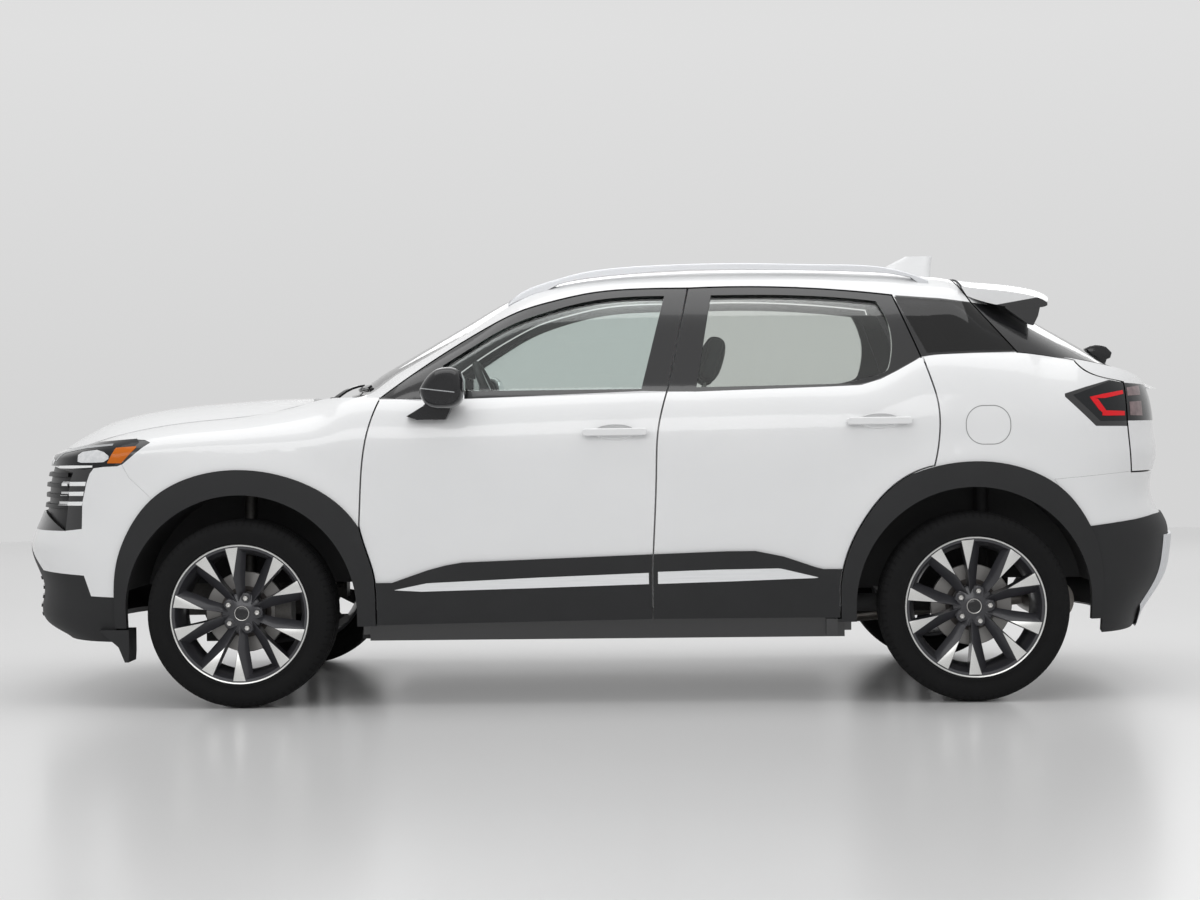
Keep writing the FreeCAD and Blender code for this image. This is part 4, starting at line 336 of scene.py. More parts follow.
def over_wheels(paint, x, y, z):
    """Edges of the wheel openings behind the cladding."""
    edges = [((x - axle) * (x - axle) + (z - ARCH_LEVEL) * (z - ARCH_LEVEL)) ** 0.5 for end, axle in ENDS]
    return 1 - edges[0].above(ARCH_EDGE, ARCH_EDGE + 0.0005) * edges[1].above(ARCH_EDGE, ARCH_EDGE + 0.0005)


def faces_forward(paint, x, y, z):
    return paint.facing()[0].above(0.12, 0.2)


def gate_inside(paint, x, y, z):
    return any_of(paint, [faces_forward, faces_inwards, under_roof]) * x.above(-2.09, -2.085)


panel_white = body_paint("white_panels", [lamp_rim], [faces_inwards, under_roof, over_wheels])
dress(panel_white, "fenders", "rear_bumper")
dress(body_paint("white_hood", [], [faces_down]), "hood")
dress(body_paint("white_roof", [], [faces_down, faces_inwards, under_roof]), "roof_panel")
dress(body_paint("white_nose", [lamp_rim, grille_corner], [faces_down, over_wheels]), "front_bumper")
dress(body_paint("white_doors", [frames], [faces_inwards, under_roof]), "front_door", "rear_door")
side_film = [sill, pillars, tail_rim, flap_line]
dress(body_paint("white_sides", side_film, [faces_inwards, under_roof, over_wheels]), "side_frame")
dress(body_paint("white_tailgate", [pillars], [gate_inside]), "tailgate")


# Grained dark cladding round the wheels and along the doors, and the lower bumpers: moulded polypropylene,
# coloured right through and clipped on over the painted metal.
grained_plastic = grainy(
    "grained_plastic", ((0.016, 0.0162, 0.0172), (0.023, 0.0234, 0.0246)), (0.5, 0.18), (1100, 3),
    tone=(6, 2), bump=(0.35, 0.0005), specular_ior_level=0.32)
dress(grained_plastic, "arch_claddings", "lower_front_bumper", "lower_rear_bumper", "cowl",
      "front_door_cladding", "rear_door_cladding")


# Underbody: black dipped steel with a dusty unevenness, and a carpeted floor inside the cabin.
# The axles' castings, the exhaust and the silver blade and rails are bare or satin metal.
FIREWALL = 0.95


def underbody():
    steel = Finish("underbody")
    pile = steel.noise(1500, 2)
    carpet = steel.facing()[2].above(0.5, 0.7) * (1 - steel.place()[0].above(FIREWALL, FIREWALL + 0.02))
    shade = steel.blend(steel.noise(9, 4), (0.012, 0.012, 0.013), (0.03, 0.03, 0.031))
    shade = steel.blend(carpet, shade, steel.blend(pile, (0.02, 0.02, 0.021), (0.06, 0.06, 0.062)))
    return steel.solid(base_color=shade, roughness=0.7 + carpet * 0.25,
                       normal=steel.bump(pile * carpet, 0.6, 0.003))


dress(underbody(), "floor_pan", "front_subframe", "rear_axle_beam")
for name, tones, rough, scale, stems in (
        ("iron_casting", ((0.06, 0.058, 0.055), (0.14, 0.135, 0.13)), 0.45, 90, ["engine", "knuckle"]),
        ("exhaust_steel", ((0.22, 0.2, 0.18), (0.42, 0.4, 0.38)), 0.3, 40, ["exhaust"]),
        ("satin_silver", ((0.62, 0.63, 0.65), (0.7, 0.71, 0.73)), 0.3, 160, ["roof_rails", "rear_blade"])):
    dress(grainy(name, tones, (rough, 0.18), (scale, 3), metallic=1.0), *stems)


# Gloss black trim: moulded caps of the mirrors and the wipers' arms, and the grille in a satin black.
trim_black = grainy("black_gloss", ((0.009, 0.009, 0.01), (0.016, 0.016, 0.018)), (0.12, 0.06), (60,),
                    specular_ior_level=0.35, coat_weight=0.2, coat_roughness=0.04)
dress(trim_black, "mirror")
dress(grainy("grille_black", ((0.008, 0.008, 0.0085), (0.014, 0.014, 0.015)), (0.3, 0.1), (500,),
             specular_ior_level=0.25), "front_grille")


# Window glass: tempered panes with a slight green tint, darkened behind the rear doors.
# The windscreen and the rear window have a black fired band round their edges.
def window_glass(name, tint, band=None):
    pane = Finish(name)
    clear = pane.wire("BsdfTransparent", {}, {"Color": (*tint, 1)})
    shine = pane.wire("BsdfGlossy", {}, {"Color": (1, 1, 1, 1), "Roughness": 0.02})
    glass = pane.wire("MixShader", {}, {0: pane.wire("Fresnel", {}, {"IOR": 1.5}), 1: clear, 2: shine})
    if band:
        fired = pane.wire("BsdfPrincipled", {}, {"Base Color": (0.01, 0.01, 0.011, 1), "Roughness": 0.12,
                                                 "Coat Weight": 0.8})
        glass = pane.wire("MixShader", {}, {0: band(pane), 1: glass, 2: fired})
    return pane.shaded(glass)


def screen_band(pane):
    x, y, z = pane.place()
    half = pane.line(x, [(0.25, 0.553), (0.963, 0.648)])
    return 1 - (half - y.size()).above(0.03, 0.034) * (1 - x.above(0.885, 0.9)) * x.above(0.283, 0.29)


def rear_band(pane):
    x, y, z = pane.place()
    return 1 - (1 - y.size().above(0.455, 0.46)) * z.above(1.205, 1.21) * (1 - x.above(-1.56, -1.555))


dress(window_glass("door_glass_front", (0.887, 0.92, 0.908)), "front_door_glass")
dress(window_glass("door_glass_rear", (0.905, 0.92, 0.906)), "rear_door_glass")
dress(window_glass("screen_glass", (0.92, 0.94, 0.93), screen_band), "windscreen")
dress(window_glass("rear_screen_glass", (0.5, 0.53, 0.52), rear_band), "tailgate_glass")
dress(window_glass("quarter_glass", (0.16, 0.16, 0.165)), "quarter_windows")


# Alloy wheels: cast aluminium, painted dark grey all over, with ten spokes in five pairs.
# The outer wedge of each spoke and the thin lip are machined bright after painting, then lacquered.
# Five nuts hold each wheel to its hub, and a plain cap closes the middle.
SIDES = (("left", 1), ("right", -1))
HUB_LEVEL = 0.3425
WHEEL_OUT = 0.782
PAIR_TURN = math.radians(69.3)
NUT_CIRCLE, POCKET_CIRCLE = 0.0572, 0.0575
SPOKE = [
    [(0.2385, 0.0375, 0.101), (0.2265, 0.083, 0.101), (0.211, 0.103, 0.068), (0.236, 0.0335, 0.05)],
    [(0.182, 0.03, 0.0925), (0.1815, 0.0545, 0.0925), (0.16, 0.079, 0.056), (0.178, 0.0255, 0.045)],
    [(0.13, 0.0225, 0.083), (0.13, 0.024, 0.083), (0.112, 0.0555, 0.046), (0.124, 0.0165, 0.036)],
    [(0.086, 0.0125, 0.063), (0.086, 0.014, 0.063), (0.079, 0.0415, 0.036), (0.082, 0.004, 0.022)],
    [(0.046, 0.0025, 0.05), (0.046, 0.0045, 0.05), (0.046, 0.03, 0.032), (0.046, -0.006, 0.014)]]
WEDGE = [
    (0.2405, 0.0388, 0.1022), (0.2288, 0.0825, 0.1022), (0.1335, 0.0249, 0.0848), (0.1335, 0.0241, 0.0848)]
WEDGE_THICK = 0.004
BARREL = [
    (0.246, 0.1015), (0.2465, 0.098), (0.24, 0.094), (0.2335, 0.06), (0.226, 0.03), (0.224, -0.06),
    (0.232, -0.075), (0.246, -0.098), (0.246, -0.106), (0.236, -0.106), (0.218, -0.07), (0.212, -0.04),
    (0.213, 0.02), (0.2205, 0.058), (0.2305, 0.088), (0.2375, 0.1)]
HUB = [
    (0, 0.052), (0.034, 0.052), (0.038, 0.05), (0.06, 0.047), (0.0745, 0.042), (0.079, 0.034), (0.079, 0.006),
    (0, 0.006)]
LIP = [(0.2465, 0.1035), (0.2478, 0.1062), (0.252, 0.1075), (0.2538, 0.106), (0.254, 0.1), (0.2465, 0.1)]
POCKET = [(0.04, 0.0195), (0.0505, 0.0185)]
NUT = [(0.047, 0.0118), (0.0625, 0.0112), (0.0665, 0.0086), (0.0662, 0.0052), (0.06, 0.0048)]
CAP_RING = [(0.0245, 0.0535), (0.0245, 0.0585), (0.0262, 0.059), (0.0275, 0.0575), (0.0275, 0.0535)]
CAP = [(0, 0.05), (0.0255, 0.05), (0.0255, 0.057), (0.0225, 0.0588), (0.012, 0.0602), (0, 0.0606)]


def applied(piece, kind, **settings):
    """Adds a modifier with these settings and applies it."""
    modifier = piece.modifiers.new(kind.lower(), kind)
    for key, value in settings.items():
        setattr(modifier, key, value)
    bpy.ops.object.modifier_apply(modifier=modifier.name)


class Clay:
    """One piece being modelled: a primitive, shaped in edit mode and finished with applied modifiers."""

    def __init__(self, name, primitive, **settings):
        bpy.ops.object.select_all(action="DESELECT")
        getattr(bpy.ops.mesh, f"primitive_{primitive}_add")(**settings)
        self.piece = bpy.context.object
        self.piece.name = name
        bpy.ops.object.transform_apply(location=True, rotation=True, scale=True)
        bpy.ops.object.mode_set(mode="EDIT")

    def pick(self, test, kind="faces"):
        """Selects the faces whose middle and normal pass the test, or the edges whose two ends do."""
        bpy.ops.mesh.select_mode(type={"faces": "FACE", "edges": "EDGE"}[kind])
        bpy.ops.mesh.select_all(action="DESELECT")
        mesh = bmesh.from_edit_mesh(self.piece.data)
        for item in getattr(mesh, kind):
            if kind == "faces":
                chosen = test(item.calc_center_median(), item.normal)
            else:
                chosen = test(*[vert.co for vert in item.verts])
            item.select_set(bool(chosen))
        bmesh.update_edit_mesh(self.piece.data)

    def place(self, spot, picked=False):
        """Sets points to spot(point), all of them or the selected ones."""
        mesh = bmesh.from_edit_mesh(self.piece.data)
        for vert in mesh.verts:
            if vert.select or not picked:
                vert.co = spot(vert.co.copy())
        bmesh.update_edit_mesh(self.piece.data)

    def ring(self, spots):
        """Sets the points to these spots in turn, and selects them all."""
        mesh = bmesh.from_edit_mesh(self.piece.data)
        for vert, spot in zip(list(mesh.verts), spots):
            vert.co = spot
        bmesh.update_edit_mesh(self.piece.data)
        bpy.ops.mesh.select_all(action="SELECT")

    def finished(self, finish, bevel=0.0, segments=2, angle=30, wall=0.0):
        """Leaves edit mode, applies the wall and the bevel, then smooths by angle."""
        bpy.ops.mesh.select_all(action="SELECT")
        bpy.ops.mesh.remove_doubles(threshold=0.00005)
        bpy.ops.mesh.normals_make_consistent(inside=False)
        bpy.ops.object.mode_set(mode="OBJECT")
        if wall:
            applied(self.piece, "SOLIDIFY", thickness=wall, offset=-1)
        if bevel:
            applied(self.piece, "BEVEL", width=bevel, segments=segments, limit_method="ANGLE",
                    angle_limit=math.radians(angle))
        bpy.ops.object.shade_smooth_by_angle(angle=math.radians(angle))
        self.piece.data.materials.append(finish)
        return self.piece


def drawn(name, sections):
    """A ring of points drawn on by extrusion through all its sections, closed at both ends."""
    clay = Clay(name, "circle", vertices=len(sections[0]), radius=1, fill_type="NGON")
    clay.ring(sections[0])
    for before, after in zip(sections, sections[1:]):
        ways = {tuple(round(value, 5) for value in spot): index for index, spot in enumerate(before)}
        bpy.ops.mesh.extrude_region_move(TRANSFORM_OT_translate={"value": (0, 0, 0)})
        clay.place(lambda spot: Vector(after[ways[tuple(round(value, 5) for value in spot)]]), picked=True)
    return clay


def turned(name, profile, steps):
    """A closed profile of radius and outward place, spun about the wheel's axle."""
    clay = Clay(name, "circle", vertices=len(profile), radius=1, fill_type="NOTHING")
    clay.ring([(radius, out, 0) for radius, out in profile])
    bpy.ops.mesh.spin(steps=steps, angle=math.tau, center=(0, 0, 0), axis=(0, 1, 0))
    return clay


def moved_copy(piece, name, change):
    """Copy of a piece with its own mesh, every point moved by change."""
    copy = piece.copy()
    copy.data = piece.data.copy()
    copy.name = name
    bpy.context.scene.collection.objects.link(copy)
    copy.data.transform(change)
    if change.determinant() < 0:
        copy.data.flip_normals()
    return copy


def merged(name, pieces):
    """Several pieces joined into one mesh."""
    bpy.ops.object.select_all(action="DESELECT")
    for piece in pieces:
        piece.select_set(True)
    bpy.context.view_layer.objects.active = pieces[0]
    bpy.ops.object.join()
    bpy.context.object.name = name
    return bpy.context.object


def fitted(piece, body, slot, *stands_for):
    """Fixes a finished piece to its body and hides the nodes that it stands for; its slot is not used."""
    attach(piece, body)
    if stands_for:
        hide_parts(*stands_for)
    return piece


def round_axle(finish):
    """Place in front of and above the nearest axle, and the distance from it."""
    x, y, z = finish.place()
    front, rear = [axle for end, axle in ENDS]
    along, up = x - (x.above(0, 0.01) * (front - rear) + rear), z - HUB_LEVEL
    return along, up, (along ** 2 + up ** 2) ** 0.5


def lathe_lines(finish, radius, scale, detail):
    """Fine turned lines round the axle, as a lathe leaves them."""
    return finish.wire("TexNoise", {"noise_dimensions": "1D"}, {"W": radius * scale, "Detail": detail})


def machined_alloy():
    alloy = Finish("machined_alloy")
    lines = lathe_lines(alloy, round_axle(alloy)[2], 2600, 1.0)
    return alloy.solid(base_color=alloy.blend(lines, (0.56, 0.56, 0.55), (0.78, 0.78, 0.76)), metallic=0.9,
                       roughness=0.24 + lines * 0.14, coat_weight=0.4)


dark_alloy = grainy("painted_alloy", ((0.028, 0.028, 0.032), (0.045, 0.045, 0.052)), (0.3, 0.12), (260,),
                    tone=(14, 2), metallic=0.35, coat_weight=0.5, coat_roughness=0.1)
bright_alloy = machined_alloy()
nut_steel = grainy("nut_steel", ((0.62, 0.61, 0.59),) * 2, (0.22, 0.2), (300,), metallic=1.0)


def round_ring(number, circle, out, radius, count):
    """Points round the middle of one of the five nuts, which stand on a circle round the hub."""
    angle = PAIR_TURN + math.pi / 5 + number * math.tau / 5
    centre = Vector((circle * math.cos(angle), out, circle * math.sin(angle)))
    turns = [step * math.tau / count for step in range(count)]
    return [centre + Vector((math.cos(turn) * radius, 0, math.sin(turn) * radius)) for turn in turns]


def wheel_pieces():
    """One left wheel about the middle of its own axle: dark and bright metal, nuts and cap."""
    dark, bright, nuts = [], [], []
    for number in range(5):
        turn = Matrix.Rotation(-(PAIR_TURN + number * math.tau / 5), 4, "Y")
        for sign in (1, -1):
            sections = [[(along, out, aside * sign) for along, aside, out in ring][::sign] for ring in SPOKE]
            spoke = drawn("spoke", sections).finished(dark_alloy, bevel=0.0018, angle=20)
            spoke.data.transform(turn)
            dark.append(spoke)
        for sign in (1, -1):
            outline = [(along, out, aside * sign) for along, aside, out in WEDGE]
            inner = [(along, out - WEDGE_THICK, aside) for along, out, aside in outline]
            plate = drawn("wedge", [inner, outline]).finished(bright_alloy, bevel=0.0005, angle=60)
            plate.data.transform(turn)
            bright.append(plate)
    dark.append(turned("barrel", BARREL, 120).finished(dark_alloy, angle=35))
    dark.append(turned("hub", HUB, 60).finished(dark_alloy, bevel=0.001, angle=30))
    bright.append(turned("lip", LIP, 144).finished(bright_alloy, angle=35))
    for number in range(5):
        rings = [round_ring(number, POCKET_CIRCLE, out, radius, 12) for out, radius in POCKET]
        dark.append(drawn("nut_pocket", rings).finished(dark_alloy, bevel=0.0015, angle=30))
        rings = [round_ring(number, NUT_CIRCLE, out, radius, 6) for out, radius in NUT]
        nuts.append(drawn("nut", rings).finished(nut_steel, bevel=0.0007, angle=25))
    nuts.append(turned("cap_ring", CAP_RING, 48).finished(nut_steel, angle=40))
    cap = turned("cap", CAP, 48).finished(trim_black, angle=40)
    return merged("rim_dark", dark), merged("rim_bright", bright), merged("wheel_nuts", nuts), cap


rim_dark, rim_bright, nut_ring, centre_cap = wheel_pieces()


# Brake discs: grey cast iron with a bare swept face and a dark hat, bolted behind each wheel.
DISC = [(0.0, -0.020), (0.072, -0.020), (0.076, -0.024), (0.078, -0.030), (0.146, -0.030), (0.148, -0.032),
        (0.148, -0.052), (0.146, -0.054), (0.060, -0.054), (0.0, -0.040)]
HAT_RADIUS = 0.094


def disc_iron():
    iron = Finish("disc_iron")
    radius = round_axle(iron)[2]
    scratch = lathe_lines(iron, radius, 900, 2.0)
    hat = iron.blend(iron.noise(30, 3), (0.07, 0.06, 0.055), (0.13, 0.12, 0.115))
    face = iron.blend(scratch, (0.28, 0.27, 0.26), (0.42, 0.41, 0.4))
    return iron.solid(base_color=iron.blend(radius.above(HAT_RADIUS - 0.002, HAT_RADIUS + 0.002), hat, face),
                      metallic=0.8, roughness=0.34 + scratch * 0.2)


brake_disc = turned("brake_disc", DISC, 72).finished(disc_iron(), angle=30)


# Tyres: black rubber on steel cord, with four grooves round the tread and cuts across its shoulders, the cuts
# also painted darker as painted shade.
# The side wall has a rim guard and fine rings, and no lettering.
SHOULDER_CUTS = 78
TYRE_HALF = [
    (0.244, 0.0985), (0.253, 0.1015), (0.2565, 0.1085), (0.26, 0.1105), (0.266, 0.108), (0.28, 0.1108),
    (0.298, 0.1118), (0.312, 0.11), (0.323, 0.105), (0.332, 0.0975), (0.338, 0.088), (0.3402, 0.078),
    (0.3411, 0.064), (0.335, 0.062), (0.335, 0.0545), (0.3417, 0.0525), (0.3422, 0.024), (0.335, 0.022),
    (0.335, 0.012), (0.3425, 0.01)]


def tyre_finish():
    black = Finish("tyre_rubber")
    along, up, radius = round_axle(black)
    turn = black.wire("Math", {"operation": "ARCTAN2"}, {0: up, 1: along})
    cuts = (turn * SHOULDER_CUTS).sine().above(0.55, 0.8) * radius.above(0.3195, 0.323)
    rings = (radius * 1500).sine().above(0.2, 0.9) * (1 - radius.above(0.275, 0.28))
    # Base colour: a random tone from the noise, made darker in the shoulder cuts as painted shade in the
    # grooves.
    shade = black.noise(24, 3) * 0.6 + cuts * -0.6
    return black.solid(base_color=black.blend(shade, (0.006, 0.006, 0.0063), (0.012, 0.012, 0.0126)),
                       roughness=0.7 + black.noise(160, 2) * 0.16, specular_ior_level=0.16,
                       normal=black.bump(rings * 0.25 - cuts, 0.7, 0.0022))


tyre_profile = TYRE_HALF + [(radius, -out) for radius, out in TYRE_HALF[::-1]]
tyre_ring = turned("tyre", tyre_profile, 128).finished(tyre_finish(), angle=35)

WHEEL_PARTS = ((rim_dark, "alloy", "rim", ["rim"]), (rim_bright, "bright_faces", "rim", []),
               (nut_ring, "wheel_nuts", "steel", []), (centre_cap, "wheel_cap", "gloss_black", []),
               (brake_disc, "brake_disc", "cast", []), (tyre_ring, "tread", "tyre", ["tyre"]))
for side, sign in SIDES:
    for end, axle in ENDS:
        corner = f"{end}_{side}"
        change = Matrix.Translation((axle, sign * WHEEL_OUT, HUB_LEVEL))
        if sign < 0:
            change = change @ Matrix.Rotation(math.pi, 4, "Z")
        for piece, stem, slot, stands_for in WHEEL_PARTS:
            fitted(moved_copy(piece, f"{stem}_{corner}", change), f"wheel_{corner}", slot,
                   *[f"{name}_{corner}" for name in stands_for])
for part in WHEEL_PARTS:
    bpy.data.objects.remove(part[0])


# Bright strips along the door cladding: thin aluminium covers with a brushed face, one to each door.
# Their front and rear ends taper to a point, and the left and right ones are mirror images.
# Each look has the axis that it runs along, the place where the cover starts and the way in which it goes.
LOOKS = {"side": (1, 1.1, -1), "front": (0, 2.6, -1), "rear": (0, -2.6, 1), "above": (2, 1.9, -1)}
PRESS_REACH = 0.9


def along_line(points, share):
    """Point at a share of the way along a broken line, measured in its first coordinate."""
    x = points[0][0] + (points[-1][0] - points[0][0]) * share
    for (x0, z0), (x1, z1) in zip(points, points[1:]):
        if (x0 - x) * (x1 - x) <= 0:
            return x, z0 + (z1 - z0) * (x - x0) / (x1 - x0 if x1 != x0 else 1)
    return points[-1]


def laid(name, top, bottom, carrier, finish, thick, grid, lift=0.0003, look="side", start=None):
    """Thin cover between two lines, pressed from one side onto what carries it and given its thickness."""
    clay = Clay(name, "grid", x_subdivisions=grid[0], y_subdivisions=grid[1], size=2)
    axis, far, way = LOOKS[look]
    far = far if start is None else start

    def spot(point):
        share, high = (point.x + 1) / 2, (point.y + 1) / 2
        (x0, z0), (x1, z1) = along_line(bottom, share), along_line(top, share)
        along, level = x0 + (x1 - x0) * high, z0 + (z1 - z0) * high
        return Vector(((far, along, level), (along, far, level), (level, along, far))[axis])

    clay.place(spot)
    bpy.ops.object.mode_set(mode="OBJECT")
    for method in ("PROJECT", "NEAREST_SURFACEPOINT"):
        applied(clay.piece, "SHRINKWRAP", wrap_method=method, target=carrier, project_limit=PRESS_REACH,
                use_project_x=axis == 0, use_project_y=axis == 1, use_project_z=axis == 2,
                use_negative_direction=way < 0, use_positive_direction=way > 0)
    bpy.ops.object.mode_set(mode="EDIT")
    bpy.ops.mesh.select_all(action="SELECT")
    bpy.ops.mesh.normals_make_consistent(inside=False)
    mesh = bmesh.from_edit_mesh(clay.piece.data)
    if sum(face.normal[axis] for face in mesh.faces) * way > 0:
        bpy.ops.mesh.flip_normals()
    mesh = bmesh.from_edit_mesh(clay.piece.data)
    for vert in mesh.verts:
        vert.co += vert.normal * lift
    bmesh.update_edit_mesh(clay.piece.data)
    bpy.ops.object.mode_set(mode="OBJECT")
    applied(clay.piece, "SOLIDIFY", thickness=thick, offset=1)
    bpy.ops.object.shade_smooth_by_angle(angle=math.radians(40))
    clay.piece.data.materials.append(finish)
    return clay.piece


def both_sides(piece, stem, body, slot):
    """The left piece and its mirror image, each riding on its side's body."""
    for side, sign in SIDES:
        copy = moved_copy(piece, f"{stem}_{side}", Matrix.Diagonal((1, sign, 1, 1)))
        fitted(copy, body.format(side=side), slot)
    bpy.data.objects.remove(piece)


def covers(table, carrier, body, slot, thick, grid, look="side"):
    """A cover on both sides for each row of name, finish, upper line and lower line."""
    for stem, finish, top, bottom in table:
        both_sides(laid(stem, top, bottom, carrier, finish, thick, grid, look=look), stem, body, slot)


strip_bright = grainy("brushed_aluminium", ((0.72, 0.73, 0.74), (0.86, 0.87, 0.88)), (0.26, 0.12),
                      (240, 2, (0.03, 1, 1)), metallic=0.7, coat_weight=0.3)
for end, top, bottom in (
        ("front", [(0.7126, 0.4238), (0.5948, 0.4471), (0.1927, 0.4634), (-0.2085, 0.4766)],
         [(0.7126, 0.4228), (0.6172, 0.4166), (0.1937, 0.4258), (-0.2085, 0.4359)]),
        ("rear", [(-0.2415, 0.4798), (-0.4634, 0.4857), (-0.6818, 0.4878), (-0.8185, 0.4545)],
         [(-0.2415, 0.4362), (-0.5213, 0.4431), (-0.8158, 0.452), (-0.8185, 0.4535)])):
    covers([(f"{end}_door_strip", strip_bright, top, bottom)], nodes[f"{end}_door_cladding_left"],
           end + "_door_{side}", "rail", 0.0012, (48, 2))


# Headlamps: black housings under one clear lens, with a bright line along the top edge, a projector in
# a chrome bowl, an amber side reflector at the rear end and a white bar below. The front face has
# a white line over three small chrome modules.
def lens(name, low, high, rough, scale=240, metallic=0.0):
    return grainy(name, (low, high), (rough, 0.08), (scale,), metallic=metallic, specular_ior_level=0.2,
                  coat_weight=0.15, coat_roughness=0.02)


lamp_black = lens("lamp_black", (0.008, 0.009, 0.01), (0.02, 0.021, 0.023), 0.06)
lamp_white = lens("lamp_white", (0.8, 0.81, 0.82), (0.9, 0.9, 0.9), 0.1)
lamp_chrome = lens("lamp_chrome", (0.6, 0.62, 0.64), (0.95, 0.95, 0.96), 0.06, 60, 0.7)
lamp_silver = lens("lamp_silver", (0.34, 0.35, 0.36), (0.5, 0.51, 0.52), 0.2, 240, 0.5)
amber = lens("amber_lens", (0.5, 0.11, 0.003), (0.6, 0.15, 0.005), 0.12, 500)
dress(lamp_black, "headlamps")
nose = merged("carrier", [moved_copy(nodes[name], f"carrier_{name}", Matrix.Identity(4))
                          for name in ("headlamps", "front_bumper", "front_grille", "fenders")])
covers([("lamp_line", lamp_silver,
         [(1.993, 0.905), (1.958, 0.938), (1.889, 0.955), (1.743, 0.966)],
         [(1.993, 0.899), (1.956, 0.932), (1.858, 0.949), (1.743, 0.959)]),
        ("lamp_bowl", lamp_chrome,
         [(1.876, 0.926), (1.86, 0.937), (1.80, 0.944), (1.77, 0.936), (1.752, 0.922)],
         [(1.876, 0.902), (1.86, 0.898), (1.80, 0.8985), (1.77, 0.9), (1.752, 0.912)]),
        ("amber_side_lens", amber,
         [(1.757, 0.898), (1.728, 0.951), (1.652, 0.956)], [(1.757, 0.8955), (1.706, 0.895), (1.652, 0.951)]),
        ("lamp_bar", lamp_white,
         [(1.985, 0.886), (1.9, 0.888), (1.815, 0.888)], [(1.985, 0.877), (1.9, 0.877), (1.815, 0.881)])],
       nose, "body", "lamp", 0.001, (32, 4))
covers([("lamp_front_line", lamp_white,
         [(0.432, 0.924), (0.56, 0.92), (0.652, 0.9065)], [(0.432, 0.9175), (0.56, 0.9135), (0.652, 0.9)]),
        ("lamp_module_0", lamp_chrome,
         [(0.462, 0.902), (0.47, 0.909), (0.508, 0.9085), (0.514, 0.902)],
         [(0.462, 0.9), (0.468, 0.893), (0.506, 0.893), (0.514, 0.9)]),
        ("lamp_module_1", lamp_chrome,
         [(0.53, 0.901), (0.538, 0.9075), (0.574, 0.9065), (0.58, 0.901)],
         [(0.53, 0.899), (0.536, 0.893), (0.572, 0.893), (0.58, 0.899)]),
        ("lamp_module_2", lamp_chrome,
         [(0.596, 0.899), (0.604, 0.9045), (0.638, 0.9025), (0.645, 0.898)],
         [(0.596, 0.897), (0.602, 0.892), (0.636, 0.892), (0.645, 0.896)])],
       nose, "body", "lamp", 0.001, (32, 4), "front")


# Grille corners: three white painted dashes on the ends of the black bars, each side.
covers([("grille_dash_0", lamp_white, [(1.950, 0.8275), (1.842, 0.8285)], [(1.950, 0.813), (1.845, 0.8135)]),
        ("grille_dash_1", lamp_white, [(1.959, 0.791), (1.851, 0.7925)], [(1.959, 0.7765), (1.854, 0.7775)]),
        ("grille_dash_2", lamp_white, [(1.970, 0.7545), (1.857, 0.756)], [(1.970, 0.741), (1.861, 0.7415)])],
       nose, "body", "lamp", 0.0012, (24, 2))
bpy.data.objects.remove(nose)


# Tail lamps: one black glossy cover across two pieces, with a red angle that lights up on the outer one.
# The inner piece on the tailgate has two smoked red and clear fields.
red_light = lens("red_light", (0.62, 0.006, 0.012), (0.8, 0.012, 0.02), 0.1, 500)
smoked = lens("smoked_lens", (0.1, 0.07, 0.072), (0.3, 0.22, 0.225), 0.08, 40, 0.1)
dress(lamp_black, "tail_lamps", "tailgate_lamps")
covers([("tail_red_top", red_light,
         [(-1.805, 1.092), (-1.86, 1.103), (-1.938, 1.1155)],
         [(-1.805, 1.088), (-1.86, 1.0865), (-1.938, 1.1015)]),
        ("tail_red_slope", red_light,
         [(-1.805, 1.093), (-1.834, 1.0845), (-1.863, 1.0425)],
         [(-1.805, 1.089), (-1.836, 1.0455), (-1.863, 1.0235)]),
        ("tail_red_low", red_light,
         [(-1.848, 1.041), (-1.863, 1.0425), (-1.938, 1.0395)],
         [(-1.848, 1.0245), (-1.87, 1.0235), (-1.938, 1.0235)])],
       nodes["tail_lamps"], "body", "red_lamp", 0.0011, (28, 3))
covers([("tail_smoked_top", smoked, [(-1.957, 1.125), (-2.02, 1.133)], [(-1.957, 1.095), (-2.02, 1.098)]),
        ("tail_smoked_low", smoked, [(-1.962, 1.073), (-2.02, 1.076)], [(-1.962, 1.024), (-2.02, 1.022)])],
       nodes["tailgate_lamps"], "tailgate", "red_lamp", 0.0011, (20, 3))


# Seats: moulded foam under a dark woven cover, sewn in panels with raised side bolsters.
# Each cushion, back and headrest is a pad of its own, on a steel base with plastic side covers.
PUFF = 0.024
PUFF_STEPS = 20
SEAM_DEPTH = 0.006
SEAT_LEAN = math.radians(-17)
SEAT_ASIDE = 0.37
FRONT_LEVEL, BENCH_LEVEL = 0.565, 0.545
FRONT_FOOT, BENCH_FOOT = -0.192, -1.108


def woven_cover():
    cloth = Finish("woven_cover")
    weave = (cloth.noise(900, 2, (1, 0.25, 1)) + cloth.noise(900, 2, (0.25, 1, 1))) * 0.5
    colour = cloth.blend(cloth.noise(35, 3) * 0.5 + weave * 0.5, (0.028, 0.032, 0.032), (0.085, 0.095, 0.094))
    return cloth.solid(base_color=colour, roughness=0.85 + weave * 0.1, sheen_weight=0.3,
                       normal=cloth.bump(weave, 0.5, 0.0012))


seat_cloth = woven_cover()


